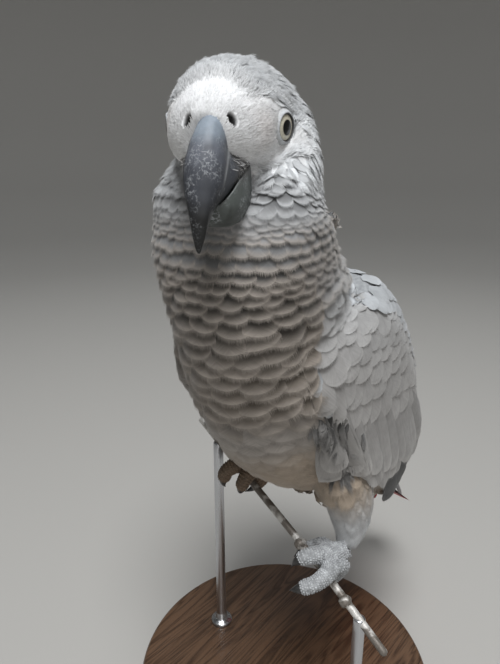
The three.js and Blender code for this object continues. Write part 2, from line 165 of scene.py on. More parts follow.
def catmull(points, count):
    """count points along a smooth curve through the given ones, in any number of dimensions."""
    points = np.asarray(points, float)
    padded = np.vstack([2 * points[0] - points[1], points, 2 * points[-1] - points[-2]])
    at = np.linspace(0, len(points) - 1, count)
    index = np.minimum(at.astype(int), len(points) - 2)
    t = (at - index)[:, None]
    a, b, c, d = (padded[index + k] for k in range(4))
    return b + 0.5 * t * (c - a + t * (2 * a - 5 * b + 4 * c - d + t * (3 * (b - c) + d - a)))


def strip_faces(rings, sides, closed=True):
    """Quads between rings of the same number of sides."""
    ring, side = np.meshgrid(np.arange(rings - 1), np.arange(sides if closed else sides - 1), indexing="ij")
    here = ring * sides + side
    beside = ring * sides + (side + 1) % sides
    return np.stack([here, beside, beside + sides, here + sides], axis=-1).reshape(-1, 4)


# ---- materials -----------------------------------------------------------------------------------


class Shader:
    """A material being built. Each call to add() makes one node and returns its first output."""

    def __init__(self, name, roughness=0.8, **fixed):
        self.material = bpy.data.materials.new(name)
        self.material.use_nodes = True
        self.tree = self.material.node_tree
        self.surface = self.tree.nodes["Principled BSDF"]
        self.set("Roughness", roughness)
        for socket, value in fixed.items():
            self.set(socket.replace("_", " "), value)

    def set(self, socket, value):
        """Sets one of the surface's sockets to a number, a colour or another node's output."""
        if isinstance(value, bpy.types.NodeSocket):
            self.tree.links.new(value, self.surface.inputs[socket])
        else:
            self.surface.inputs[socket].default_value = value

    def add(self, kind, inputs=(), output=0, **settings):
        made = self.tree.nodes.new("ShaderNode" + kind)
        for key, value in settings.items():
            setattr(made, key, value)
        for key, value in dict(inputs).items():
            if isinstance(value, bpy.types.NodeSocket):
                self.tree.links.new(value, made.inputs[key])
            else:
                made.inputs[key].default_value = value
        return made.outputs[output]

    def attribute(self, name, output="Color"):
        return self.add("Attribute", output=output, attribute_name=name)

    def math(self, operation, a, b=0.0):
        return self.add("Math", {0: a, 1: b}, operation=operation)

    def blend(self, share, a, b, way="MIX"):
        inputs = {0: share, 6: a, 7: b}
        return self.add("Mix", inputs, output=2, data_type="RGBA", blend_type=way, clamp_factor=True)

    def noise(self, scale, detail=3.0, place=None, **more):
        inputs = {"Scale": scale, "Detail": detail, **more}
        if place is not None:
            inputs["Vector"] = place
        return self.add("TexNoise", inputs)

    def place(self, stretch=(1, 1, 1)):
        coordinates = self.add("TexCoord", output="Object")
        return self.add("Mapping", {"Vector": coordinates, "Scale": stretch})

    def remap(self, value, low, high, to_low=0.0, to_high=1.0):
        inputs = {"Value": value, "From Min": low, "From Max": high, "To Min": to_low, "To Max": to_high}
        return self.add("MapRange", inputs)

    def tinted(self, colour, shade):
        """A colour times a shade."""
        return self.add("VectorMath", {0: colour, "Scale": shade}, operation="SCALE")

    def bump(self, height, strength, distance):
        inputs = {"Height": height, "Strength": strength, "Distance": distance}
        self.set("Normal", self.add("Bump", inputs))


def grey(value, warmth=0.0):
    """A linear grey, warmer above 0 and cooler below it."""
    return np.array([value * (1 + warmth), value, value * (1 - warmth)])


def feather_material(name, roughness=0.72, sheen=0.25, streaks=0.22, shaft=0.0):
    """Colour from the mesh, with fine barbs that slant out from the shaft, and a darker shaft."""
    shader = Shader(name, roughness, Sheen_Weight=sheen, Sheen_Roughness=0.5, Specular_IOR_Level=0.3)
    tint = shader.attribute("tint")
    vane = shader.attribute("vane", "Vector")
    parts = shader.tree.nodes.new("ShaderNodeSeparateXYZ")
    shader.tree.links.new(vane, parts.inputs[0])
    from_shaft = shader.math("ABSOLUTE", parts.outputs[0])
    slant = shader.math("SUBTRACT", shader.math("MULTIPLY", parts.outputs[1], 2.0), from_shaft)
    barb_place = shader.add("CombineXYZ", {0: shader.math("MULTIPLY", slant, 22.0), 1: from_shaft,
                                           2: parts.outputs[2]})
    barbs = shader.noise(1.0, 2.0, barb_place)
    blotch = shader.noise(260, 3.0, shader.place())
    fine = shader.remap(barbs, 0.3, 0.7, 1 - streaks, 1 + streaks)
    broad = shader.remap(blotch, 0.3, 0.7, 0.92, 1.08)
    shade = shader.math("MULTIPLY", fine, broad)
    if shaft:
        shade = shader.math("MULTIPLY", shade, shader.remap(from_shaft, 0.02, 0.06, 1 - shaft, 1.0))
    colour = shader.tinted(tint, shade)
    shader.set("Base Color", colour)
    shader.bump(barbs, 0.3, 0.0002)
    return shader.material


def skin_material():
    shader = Shader("skin_of_bird", 0.7, Sheen_Weight=0.15)
    tint = shader.attribute("tint")
    mottle = shader.noise(900, 4.0, shader.place())
    shade = shader.remap(mottle, 0.3, 0.7, 0.8, 1.15)
    shader.set("Base Color", shader.tinted(tint, shade))
    shader.bump(mottle, 0.5, 0.0002)
    return shader.material


# ---- the wings' frame ----------------------------------------------------------------------------

WING_START = np.array([0, -5, 118.0])
WING_FALL = math.radians(52.8)  # below level
WING_WAY = np.array([0, math.cos(WING_FALL), -math.sin(WING_FALL)])
WING_REARWARDS = np.array([0, math.sin(WING_FALL), math.cos(WING_FALL)])
WING = np.array([  # along, front, rear and out
    (-7, -14, 6, 17),
    (2, -40, 17, 14),
    (16, -50, 25, 12),
    (42, -53, 31, 9),
    (72, -52, 30, 7),
    (98, -48, 24, 6),
    (118, -43, 17, 6),
    (132, -36, 8, 7),
    (142, -26, -4, 9),
])
# The wing's front edge: how far along the wing, and its turn there about the middle line in degrees.
FRONT_LIMIT = (
    (-13, -30), (-12, -36), (-8, -45), (9, -45), (22, -46),
    (34, -41), (50, -40), (70, -44), (88, -42), (110, -30),
)
# The wing's top edge: its turn in degrees, and how far along the wing it is there.
START_LIMIT = ((-40, -12.0), (-25, -12.2), (6, -7.6), (74, 9.0))
WING_BACK = 76  # the turn where the wing ends against the back
DEGREE_LENGTH = 0.6  # about how long a degree of turn is on the wing's surface


def wing_place(points):
    """How far along the nearer wing each place is, and its turn about the wing's middle line."""
    away = points * (0, 1, 1) - WING_START
    along, across = away @ WING_WAY, away @ WING_REARWARDS
    front, rear, out = (np.interp(along, WING[:, 0], WING[:, column]) for column in (1, 2, 3))
    turn = np.degrees(np.arctan2(across - (front + rear) / 2, np.abs(points[:, 0]) - out))
    return along, turn


def front_turn(along):
    """The turn of the wing's front edge, this far along the wing."""
    return np.interp(along, *np.transpose(FRONT_LIMIT))


def start_along(turn):
    """How far along the wing its top edge is, at this turn."""
    return np.interp(turn, *np.transpose(START_LIMIT))


def wing_outwards(side, turn):
    """The way out of the wing's middle line at each turn; side is 1 on the left and -1 on the right."""
    angle = np.radians(turn)[:, None]
    return side * np.array([1, 0, 0]) * np.cos(angle) + np.sin(angle) * WING_REARWARDS


def past_front(points):
    """Degrees behind the wing's front edge, below 0 before it."""
    along, turn = wing_place(points)
    return turn - front_turn(along)


def inside_wing(points):
    """About how far inside the wing's outline each place lies, below 0 outside it."""
    along, turn = wing_place(points)
    behind = DEGREE_LENGTH * past_front(points)
    return np.minimum.reduce([behind, along - start_along(turn), DEGREE_LENGTH * (WING_BACK - turn)])


# ---- skin ----------------------------------------------------------------------------------------

BODY_NODES = ("head", "neck", "trunk", "rump")
WING_NODES = tuple(
    f"wing_{word}_{part}" for word in ("left", "right") for part in ("coverts", "secondaries")
)
THIGH_NODES = ("thigh_left", "thigh_right")
FLESH = BODY_NODES + WING_NODES + THIGH_NODES
HEAD_PART, TRUNK_PART, RUMP_PART = (FLESH.index(name) for name in ("head", "trunk", "rump"))
FIRST_WING_PART = len(BODY_NODES)
FIRST_THIGH_PART = len(BODY_NODES + WING_NODES)
SEAM = 0.25  # each solid is swelled by this, to close the gaps between them
VOXEL = 1.3
RELAX = 9  # smoothing passes


def joined_flesh():
    """The fleshy solids as one mesh, with its points and triangles, smoothed."""
    shape = bmesh.new()
    for name in FLESH:
        shape.from_mesh(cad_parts[name].data)
    bmesh.ops.remove_doubles(shape, verts=shape.verts, dist=1e-6)
    shape.normal_update()
    for vertex in shape.verts:
        vertex.co += vertex.normal * SEAM * MM
    mesh = bpy.data.meshes.new("flesh")
    shape.to_mesh(mesh)
    shape.free()
    made = bpy.data.objects.new("flesh", mesh)
    bpy.context.scene.collection.objects.link(made)
    remesh = made.modifiers.new("remesh", "REMESH")
    remesh.mode = "VOXEL"
    remesh.voxel_size = VOXEL * MM
    relax = made.modifiers.new("relax", "SMOOTH")
    relax.iterations = RELAX
    depsgraph = bpy.context.evaluated_depsgraph_get()
    smooth_mesh = made.evaluated_get(depsgraph).to_mesh()
    smooth_mesh.calc_loop_triangles()
    points = np.empty(len(smooth_mesh.vertices) * 3)
    smooth_mesh.vertices.foreach_get("co", points)
    triangles = np.empty(len(smooth_mesh.loop_triangles) * 3, np.int32)
    smooth_mesh.loop_triangles.foreach_get("vertices", triangles)
    made.evaluated_get(depsgraph).to_mesh_clear()
    bpy.data.objects.remove(made)
    return to_bird(points.reshape(-1, 3)), triangles.reshape(-1, 3)


def vertex_normals(points, triangles):
    corners = points[triangles]
    across = np.cross(corners[:, 1] - corners[:, 0], corners[:, 2] - corners[:, 0])
    normals = np.zeros_like(points)
    for corner in range(3):
        np.add.at(normals, triangles[:, corner], across)
    return unit(normals)


def nearest_part(points):
    """The fleshy solid that each point is nearest to, as an index in FLESH."""
    corners, faces, owner = [], [], []
    for index, name in enumerate(FLESH):
        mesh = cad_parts[name].data
        start = len(corners)
        corners += [tuple(to_bird(v.co)) for v in mesh.vertices]
        faces += [tuple(start + v for v in polygon.vertices) for polygon in mesh.polygons]
        owner += [index] * len(mesh.polygons)
    tree = BVHTree.FromPolygons(corners, faces)
    return np.array([owner[tree.find_nearest(Vector(point))[2]] for point in points])


def face_share(points):
    """1 on the bare white face round each eye and in front of it, and 0 away from it."""
    head = to_head(points)
    across = ((head[:, 1] + 8) / 14.2) ** 2 + (head[:, 2] / 10.2) ** 2
    side = (1 - ease(0.75, 1.1, across)) * ease(7, 11, np.abs(head[:, 0]))
    front = (1 - ease(-14, -8.5, head[:, 1])) * ease(-14, -10, head[:, 2])
    return np.maximum(side, front)


def crown_share(points):
    head = to_head(points)
    return ease(-2, 8, head[:, 2] + 0.25 * head[:, 1]) * (1 - face_share(points))


COAT_DEPTHS = (2.4, 3.2, 3.0, 2.6) + (2.2,) * len(WING_NODES) + (1.8,) * len(THIGH_NODES)
CROWN_DEPTH = 1.6
FACE_DEPTH = 0.7
# How much further the skin is sunk, for the longer feathers that lie there.
BESIDE_WING_SINK = 2.2
BESIDE_BILL_SINK = 1.6
UNDER_BREAST_SINK = 1.0
UNDER_RUMP_SINK = 5.0
BILL_SIDE = (11, -13, -17)  # the middle of the cheek beside the bill, in the head's frame
BILL_SIDE_REACH = (7, 9, 9)
WING_FACE_DEPTH = 0.9  # the most that a wing's outer face is sunk where the wing stands off the back
DEPTH_RELAX = 6  # passes


def coat_depth(points, part):
    """How far the skin lies inside the tips of the coat."""
    depth = np.select([part == k for k in range(len(FLESH))], list(COAT_DEPTHS))
    depth = mix(depth, CROWN_DEPTH, crown_share(points) * (part == HEAD_PART))
    return mix(depth, FACE_DEPTH, face_share(points) * (part == HEAD_PART))


def is_wing(part):
    return (part >= FIRST_WING_PART) & (part < FIRST_THIGH_PART)


def below_neck_part(part):
    """Whether a part belongs to the trunk, the rump or a wing."""
    return (part >= TRUNK_PART) & (part < FIRST_THIGH_PART)


def parted_at_wing(points, part):
    """The parts again, with the wing's own outline as the border between wing and body."""
    along, turn = wing_place(points)
    on_wing = (past_front(points) > 0) & (turn < WING_BACK) & (along > start_along(turn))
    on_wing &= (part != HEAD_PART) & (part < FIRST_THIGH_PART)
    was_wing = is_wing(part)
    part = np.where(on_wing & ~was_wing, FIRST_WING_PART, part)
    return np.where(was_wing & ~on_wing, TRUNK_PART, part)


def beside_wing(points, part):
    """1 on the body just before the wing's front edge, and 0 away from it."""
    along = wing_place(points)[0]
    before = -past_front(points)
    share = (1 - ease(0, 16, before)) * ease(-14, -6, along) * (1 - ease(60, 90, along))
    return share * ((before > 0) * (part <= TRUNK_PART) * (points[:, 1] < 30))


def beside_bill(points):
    """1 on the cheek beside the bill's root, and 0 away from it."""
    head = to_head(points)
    head[:, 0] = np.abs(head[:, 0])
    away = np.linalg.norm((head - BILL_SIDE) / BILL_SIDE_REACH, axis=1)
    return 1 - ease(0.4, 1.0, away)


def under_sink(points, normals, part):
    """The further sink under the body, which grows towards the rump."""
    share = ease(0.3, 0.8, -normals[:, 2]) * (1 - ease(50, 72, points[:, 2])) * (part <= RUMP_PART)
    return share * mix(UNDER_BREAST_SINK, UNDER_RUMP_SINK, ease(4, 24, points[:, 1]))


def skin_depth(points, normals, part):
    """How far the skin is sunk into the flesh at each place."""
    depth = (
        coat_depth(points, part) + SEAM
        + BESIDE_WING_SINK * beside_wing(points, part)
        + BESIDE_BILL_SINK * beside_bill(points)
        + under_sink(points, normals, part)
    )
    # The wings are thin where they stand off the back, so only their outer face is sunk there.
    turn = wing_place(points)[1]
    facing_in = np.sum(normals * wing_outwards(np.sign(points[:, :1]), turn), 1) < 0
    stands_off = ease(40, 60, turn) * below_neck_part(part)
    return mix(depth, np.where(facing_in, 0.0, np.minimum(depth, WING_FACE_DEPTH)), stands_off)


def relaxed(values, triangles, passes):
    """Values at the vertices, averaged with their neighbours'."""
    values = values.astype(float)
    edges = np.vstack([triangles[:, [0, 1]], triangles[:, [1, 2]], triangles[:, [2, 0]]])
    count = np.bincount(edges.ravel(), minlength=len(values))
    for _ in range(passes):
        total = np.bincount(edges[:, 0], values[edges[:, 1]], len(values))
        total += np.bincount(edges[:, 1], values[edges[:, 0]], len(values))
        values = mix(values, total / count, 0.7)
    return values


surface_points, skin_triangles = joined_flesh()
skin_part = parted_at_wing(surface_points, nearest_part(surface_points))
surface_normals = vertex_normals(surface_points, skin_triangles)
depths = relaxed(skin_depth(surface_points, surface_normals, skin_part), skin_triangles, DEPTH_RELAX)
full_depths = relaxed(coat_depth(surface_points, skin_part) + SEAM, skin_triangles, DEPTH_RELAX)
skin_points = surface_points - surface_normals * depths[:, None]
skin_normals = vertex_normals(skin_points, skin_triangles)
skin_tree = BVHTree.FromPolygons(skin_points.tolist(), skin_triangles.tolist())

# ---- the lie of the coat -------------------------------------------------------------------------

# Rows of feathers lie on planes that turn about a line across the gape, from the forehead over the
# crown to level, and then pass down the neck and trunk to the tail.
HINGE = from_head([0, -17, -16])
FAN_START, FAN_END = math.radians(-42), math.radians(90)  # from the head's up, backwards
FAN_ROWS = 48
FAN_SPACING = 1.9  # where the rows leave the head
TRUNK_PLANES = (  # a point on the plane, the way across it, and the rows' spacing there
    ((5, -30, 146), (0, 0.10, -0.99), 2.3),
    ((5, -28, 128), (0, 0.25, -0.97), 3.7),
    ((4.5, -16, 105), (0, 0.44, -0.90), 5.0),
    ((2.5, -5, 85), (0, 0.50, -0.87), 5.4),
    ((1.5, 7, 65), (0, 0.55, -0.84), 5.2),
    ((1, 21, 46), (0, 0.62, -0.78), 4.6),
    ((0, 37, 29), (0, 0.68, -0.73), 4.6),
    ((0, 54, 14), (0, 0.72, -0.69), 4.8),
    ((0, 72, -2), (0, 0.74, -0.67), 5.0),
    ((0, 95, -22), (0, 0.74, -0.67), 5.0),
)
PLANE_STEPS = 24  # between two stations


def coat_planes():
    """Points, ways and row numbers of many planes in order down the body."""
    ats, ways, rows = [], [], []
    for share in np.linspace(0, 1, 12):
        angle = mix(FAN_START, FAN_END, share)
        ats.append(HINGE)
        ways.append(np.array([0, math.cos(angle), -math.sin(angle)]) @ HEAD)
        rows.append(FAN_ROWS * share)
    spacing = FAN_SPACING
    for at, way, new_spacing in TRUNK_PLANES:
        way = unit(way)
        gone = np.dot(np.array(at) - ats[-1], unit(way + ways[-1]))
        rows.append(rows[-1] + gone / ((spacing + new_spacing) / 2))
        ats.append(np.array(at, float))
        ways.append(way)
        spacing = new_spacing
    count = (len(ats) - 1) * PLANE_STEPS + 1
    share = np.linspace(0, len(ats) - 1, count)
    index = np.minimum(share.astype(int), len(ats) - 2)
    part = (share - index)[:, None]
    ats, ways, rows = np.array(ats), np.array(ways), np.array(rows)
    return (
        mix(ats[index], ats[index + 1], part),
        unit(mix(ways[index], ways[index + 1], part)),
        mix(rows[index], rows[index + 1], part[:, 0]),
    )


PLANE_AT, PLANE_WAY, PLANE_ROW = coat_planes()


def body_row(points):
    """How many rows lie between the forehead and each point: the last plane that it is past."""
    past = points @ PLANE_WAY.T - np.sum(PLANE_AT * PLANE_WAY, 1)
    index = past.shape[1] - 1 - np.argmax((past > 0)[:, ::-1], axis=1)
    index = np.clip(index, 0, past.shape[1] - 2)
    every = np.arange(len(points))
    here, after = past[every, index], past[every, index + 1]
    share = np.clip(here / np.maximum(here - after, 1e-6), 0, 1)
    return mix(PLANE_ROW[index], PLANE_ROW[index + 1], share)


THIGH_ROW = 3.0  # spacing of the rows down the thighs


def gradient(row):
    """How a row number changes over the skin, at its vertices."""
    corners = skin_points[skin_triangles]
    edge_1, edge_2 = corners[:, 1] - corners[:, 0], corners[:, 2] - corners[:, 0]
    normal = np.cross(edge_1, edge_2)
    area = np.maximum(np.sum(normal**2, 1, keepdims=True), 1e-9)
    change_1 = (row[skin_triangles[:, 1]] - row[skin_triangles[:, 0]])[:, None]
    change_2 = (row[skin_triangles[:, 2]] - row[skin_triangles[:, 0]])[:, None]
    slope = (change_1 * np.cross(edge_2, normal) + change_2 * np.cross(normal, edge_1)) / area
    total = np.zeros_like(skin_points)
    count = np.bincount(skin_triangles.ravel(), minlength=len(skin_points))
    for corner in range(3):
        np.add.at(total, skin_triangles[:, corner], slope)
    return total / count[:, None]


skin_row = body_row(skin_points)
row_slope = gradient(skin_row)
row_spacing = 1 / np.maximum(np.linalg.norm(row_slope, axis=1), 0.05)
row_spacing = relaxed(row_spacing, skin_triangles, 12)
FINEST_ROW = 1.7  # where rows crowd closer than this, only every second, third or fourth is laid
row_skip = np.clip(np.ceil(FINEST_ROW / row_spacing), 1, 4).astype(int)
row_spacing = relaxed(row_spacing * row_skip, skin_triangles, 6)
skin_flow = unit(row_slope)
on_thigh = skin_part >= FIRST_THIGH_PART
down = np.array([0, 0, -1.0])
thigh_flow = unit(down - skin_normals * (skin_normals @ down)[:, None])
thigh_weight = relaxed(on_thigh.astype(float), skin_triangles, 10)[:, None]
skin_flow = unit(mix(skin_flow, thigh_flow, thigh_weight))


def on_skin(points):
    """The nearest place on the skin to each point, with its normal, its flow and a vertex near it."""
    shape = points.shape
    flat = points.reshape(-1, 3)
    found = [skin_tree.find_nearest(Vector(point))[::2] for point in flat]
    place = np.array([spot for spot, _ in found])
    corners = skin_triangles[np.array([face for _, face in found])]
    a, b, c = (skin_points[corners[:, k]] for k in range(3))
    normal = np.cross(b - a, c - a)
    area = np.maximum(np.sum(normal**2, 1), 1e-12)
    weight_b = np.sum(np.cross(place - a, c - a) * normal, 1) / area
    weight_c = np.sum(np.cross(b - a, place - a) * normal, 1) / area
    weights = np.stack([1 - weight_b - weight_c, weight_b, weight_c], 1)[..., None]
    smooth_normal = unit(np.sum(skin_normals[corners] * weights, 1))
    flow = np.sum(skin_flow[corners] * weights, 1)
    flow = unit(flow - smooth_normal * np.sum(flow * smooth_normal, 1, keepdims=True))
    return place.reshape(shape), smooth_normal.reshape(shape), flow.reshape(shape), corners[:, 0]


def contour(row, level):
    """The lines on the skin where a row number is at a level, each a list of (point, vertex)."""
    above = row[skin_triangles] > level
    crossed = above.any(1) & ~above.all(1)
    triangles, above = skin_triangles[crossed], above[crossed]
    lone = np.where(above.sum(1, keepdims=True) == 1, above, ~above).argmax(1)
    every = np.arange(len(triangles))
    apex = triangles[every, lone]
    next_to = {}
    for top, one, two in zip(apex, triangles[every, (lone + 1) % 3], triangles[every, (lone + 2) % 3]):
        edge_1, edge_2 = (min(top, one), max(top, one)), (min(top, two), max(top, two))
        next_to.setdefault(edge_1, []).append(edge_2)
        next_to.setdefault(edge_2, []).append(edge_1)
    lines, used = [], set()
    starts = [edge for edge, near in next_to.items() if len(near) == 1] + list(next_to)
    for start in starts:
        if start in used:
            continue
        line, here = [start], start
        used.add(start)
        while True:
            onward = [edge for edge in next_to[here] if edge not in used]
            if not onward:
                break
            here = onward[0]
            used.add(here)
            line.append(here)
        lines.append(np.array(line))
    made = []
    for line in lines:
        low, high = row[line[:, 0]], row[line[:, 1]]
        share = ((level - low) / np.where(high == low, 1, high - low))[:, None]
        points = mix(skin_points[line[:, 0]], skin_points[line[:, 1]], share)
        if len(points) > 3:
            made.append((points, line[:, 0]))
    return made


ROW_SHIFT = 0.618  # of a pitch, between one row and the next


def row_roots(row, levels, pitch, keep, skip):
    """Places along the rows, one pitch apart and each row shifted from the row before. pitch, keep and
    skip hold a value for each vertex. Returns points and a vertex near each."""
    points, vertices = [], []
    for number, level in enumerate(levels):
        for line, near in contour(row, level):
            front = np.argmin(line[:, 1])
            closed = np.linalg.norm(line[0] - line[-1]) < 3 * VOXEL
            if closed:
                line = np.roll(line, -front, axis=0)
                near = np.roll(near, -front)
                line, near = np.vstack([line, line[:1]]), np.append(near, near[0])
            steps = np.linalg.norm(np.diff(line, axis=0), axis=1)
            crowd = np.append(0, np.cumsum(steps / pitch[near[:-1]]))
            count = int(round(crowd[-1]))
            if count < 1:
                continue
            at = (np.arange(count) + number * ROW_SHIFT % 1) * crowd[-1] / count
            at = np.clip(at + rng.normal(0, 0.07, count), 0, crowd[-1])
            index = np.clip(np.searchsorted(crowd, at) - 1, 0, len(line) - 2)
            share = (at - crowd[index]) / np.maximum(crowd[index + 1] - crowd[index], 1e-6)
            chosen = keep[near[index]] & (number % skip[near[index]] == 0)
            points.append(mix(line[index], line[index + 1], share[:, None])[chosen])
            vertices.append(near[index][chosen])
    return np.vstack(points), np.concatenate(vertices)


# ---- feathers ------------------------------------------------------------------------------------

TRUNK_MIDDLE_Y, TRUNK_MIDDLE_Z = 7, 65  # a place on the trunk's middle line
TRUNK_LEAN = 0.62  # how far the line comes forwards as it rises
SPINE_STEPS = 5  # places along a feather where the lie of the coat is read again
PATCH = 0.003  # width of a feather's patch in its piece's map


def vane_template(columns, rows=(0.0, 0.35, 0.6, 0.8, 0.93), barbs=3, comb=0.09, sides=0.5, power=2.3):
    """One feather's mesh, in shares of its length and half width: across, along, rim, and triangles.
    Its columns run out from the root to a round tip, which starts at the share called sides. Barbs
    make a comb round the tip. rim is 1 at the edge and over 1 in the comb."""

    def reach(x):
        return sides + (1 - sides) * (1 - np.abs(x) ** power) ** (1 / power)

    across = np.sin(np.linspace(-1, 1, columns + 1) * np.pi / 2)
    points = []
    for rim in rows:
        spread = 0.4 + 0.6 * ease(0, 0.6, rim)
        points += [(x * spread, y * rim, rim) for x, y in zip(across, reach(across))]
    quads = strip_faces(len(rows), columns + 1, closed=False)
    triangles = [quads[:, [0, 1, 2]], quads[:, [0, 2, 3]]]
    own_rng = np.random.default_rng(columns * 10 + barbs)
    start, count = len(points), columns * barbs
    for index in range(count):
        middle = -1 + (index + 0.5) * 2 / count
        half = 0.5 * 2 / count
        tip = middle + own_rng.normal(0, 0.35 / count)
        far = 1 + comb * own_rng.uniform(0.3, 1.0)
        for share, rim in ((middle - half, 0.86), (middle + half, 0.86), (tip, far)):
            x = math.sin(min(max(share, -1), 1) * math.pi / 2)
            points.append((x * max(rim, 1), reach(x) * rim, rim))
    if count:
        triangles.append(start + np.arange(count * 3).reshape(-1, 3))
    points = np.array(points)
    return points[:, 0], points[:, 1], points[:, 2], np.vstack(triangles)


class Coat:
    """Feathers gathered into one piece."""

    def __init__(self, name, material, slot):
        self.name, self.material, self.slot = name, material, slot
        self.points, self.triangles, self.tint, self.vane, self.patch = [], [], [], [], []
        self.count = 0

    def add(self, points, triangles, tint, vane, patch):
        """Several feathers of one template: each array is feathers x points x values."""
        feathers, each = points.shape[:2]
        start = self.count + np.arange(feathers)[:, None, None] * each
        self.triangles.append((triangles[None] + start).reshape(-1, 3))
        self.points.append(points.reshape(-1, 3))
        self.tint.append(tint.reshape(-1, 3))
        self.vane.append(vane.reshape(-1, 3))
        self.patch.append(patch.reshape(-1, 2))
        self.count += feathers * each

    def finish(self, replaces=()):
        points, triangles = np.vstack(self.points), np.vstack(self.triangles)
        made = new_mesh(self.name, points, triangles)
        paint(made, "tint", "FLOAT_COLOR", np.clip(np.vstack(self.tint), 0, 1))
        paint(made, "vane", "FLOAT_VECTOR", np.vstack(self.vane))
        unwrap_onto(made, np.vstack(self.patch))
        print(f"{self.name}: {len(triangles)} triangles")
        return add_piece(made, self.material, replaces)


def unwrap_onto(made, patch):
    """Writes the piece's OFBake map from a place for each vertex, stretched to fill the square."""
    low, high = patch.min(0), patch.max(0)
    patch = 0.004 + 0.992 * (patch - low) / np.maximum(high - low, 1e-6)
    layer = made.data.uv_layers.new(name="OFBake")
    corners = np.empty(len(made.data.loops), np.int32)
    made.data.loops.foreach_get("vertex_index", corners)
    layer.data.foreach_set("uv", patch[corners].astype(np.float32).ravel())


def spots(places):
    """Places on an unwrap, stretched to the unit square so that a patch has its own size there."""
    low, high = places.min(0), places.max(0)
    return (places - low) / np.maximum(high - low, 1e-6)


def unwrap(points):
    """Each place's spot on an unwrap of the skin: round the body, and down its rows."""
    rows = body_row(points)
    index = np.clip(np.searchsorted(PLANE_ROW, rows), 0, len(PLANE_ROW) - 1)
    z = points[:, 2]
    middle_y = TRUNK_MIDDLE_Y - TRUNK_LEAN * (z - TRUNK_MIDDLE_Z)
    trunk_middle = np.stack([np.full(len(points), 3.0), middle_y, z], 1)
    middle = np.where((points[:, 2] > 140)[:, None], from_head([0, 8, -4]), trunk_middle)
    way = PLANE_WAY[index]
    out = points - middle
    front = unit(np.cross(way, [1, 0, 0]))
    side = np.cross(front, way)
    angle = np.arctan2(np.sum(out * side, 1), -np.sum(out * front, 1))
    return np.stack([angle / (2 * np.pi), rows / PLANE_ROW[-1]], 1)


def dress(coat, template, spine, sides, normals, width, tint, edge, heights, spot, cup=0.25, tilt=0.0,
          drape=None, dark_root=0.72, rim_start=0.70, seed=None):
    """Puts one feather along each spine. spine, sides and normals hold a point and two directions for
    each step along a feather, tint and edge are the colours of its middle and its rim, and heights is
    the rise of its root, middle and tip. drape lays the flat feather on a surface. The root is painted
    darker, as painted shade from the feather that overlaps it."""
    across, along, rim, triangles = template
    count = len(spine)
    at = along * (spine.shape[1] - 1)
    index = np.clip(at.astype(int), 0, spine.shape[1] - 2)
    share = (at - index)[None, :, None]
    middle = mix(spine[:, index], spine[:, index + 1], share)
    sideways = mix(sides[:, index], sides[:, index + 1], share)
    reach = across[None, :] * width[:, None] / 2
    flat = middle + sideways * reach[..., None]
    if drape:
        flat, normal = drape(flat)[:2]
    else:
        normal = mix(normals[:, index], normals[:, index + 1], share)
    low, mid, high = (np.broadcast_to(np.asarray(h, float).reshape(-1, 1), (count, 1)) for h in heights)
    rise = np.where(along < 0.5, mix(low, mid, along / 0.5), mix(mid, high, (along - 0.5) / 0.5))
    rise = rise - cup * across**2 * (0.3 + along) * width[:, None] / 8
    rise = rise + np.broadcast_to(np.asarray(tilt, float).reshape(-1, 1), (count, 1)) * reach * along
    points = flat + normal * rise[..., None]
    pale = ease(rim_start, 0.96, rim)[None, :, None]
    # The root is darkened: painted shade from the feather that overlaps it.
    root_shadow = mix(dark_root, 1.0, ease(0.35, 0.75, along))[None, :, None]
    colour = mix(tint[:, None] * root_shadow, edge[:, None], pale)
    seed = rng.uniform(0, 50, count) if seed is None else seed
    vane = np.stack(np.broadcast_arrays(across[None], along[None], seed[:, None]), -1)
    patch = spots(spot)[:, None] + PATCH * np.stack([across / 2, along - 0.5], 1)[None]
    coat.add(points, triangles, colour, vane, patch)


def lay(coat, template, roots, length, width, tint, edge, heights, spot=None, turn=None, flow=None,
        surface=on_skin, **more):
    """Lays one feather at each root over the skin, along the lie of the coat or along its own flow."""
    count = len(roots)
    spot = unwrap(roots) if spot is None else spot
    turn = np.zeros(count) if turn is None else turn
    place, normal, way, _ = surface(roots)
    spine, sides = [place], []
    for _ in range(SPINE_STEPS):
        if flow is not None:
            way = unit(flow - normal * np.sum(flow * normal, 1, keepdims=True))
        side = np.cross(way, normal)
        ahead = way * np.cos(turn)[:, None] + side * np.sin(turn)[:, None]
        sides.append(np.cross(ahead, normal))
        place, normal, way, _ = surface(place + ahead * (length / SPINE_STEPS)[:, None])
        spine.append(place)
    spine, sides = np.stack(spine, 1), np.stack(sides + sides[-1:], 1)
    dress(coat, template, spine, sides, None, width, tint, edge, heights, spot, drape=surface, **more)


# ---- colours -------------------------------------------------------------------------------------

WHITE_FACE = grey(0.78, -0.01)
LORE_TINT = np.array([0.60, 0.50, 0.46])
CROWN_GREY = grey(0.34, -0.045)
CHEEK_WHITE = grey(0.80, -0.03)
CHEEK_GREY = grey(0.22, -0.02)
# The throat's grey, made darker as painted shade under the bill.
NECK_GREY_AND_SHADE = grey(0.034, 0.10)
BREAST_GREY = grey(0.058, 0.24)
BELLY_GREY = grey(0.245, 0.08)
# The lower belly's grey, made browner as painted shadow and warm light.
BELLY_LOW_WARM_SHADE = grey(0.235, 0.22)
BACK_GREY = grey(0.24, -0.02)
RUMP_PALE = grey(0.48, -0.01)
THIGH_GREY = grey(0.42, -0.02)
WING_GREY = grey(0.335, -0.04)
QUILL_GREY = grey(0.27, 0.03)
FLUFF_GREY = grey(0.11, 0.03)
FLIGHT_GREY = grey(0.055, -0.02)
TAIL_RED = np.array([0.42, 0.010, 0.012])
RIM_PALE = grey(0.43, -0.02)
BREAST_RIM = grey(0.31, 0.12)


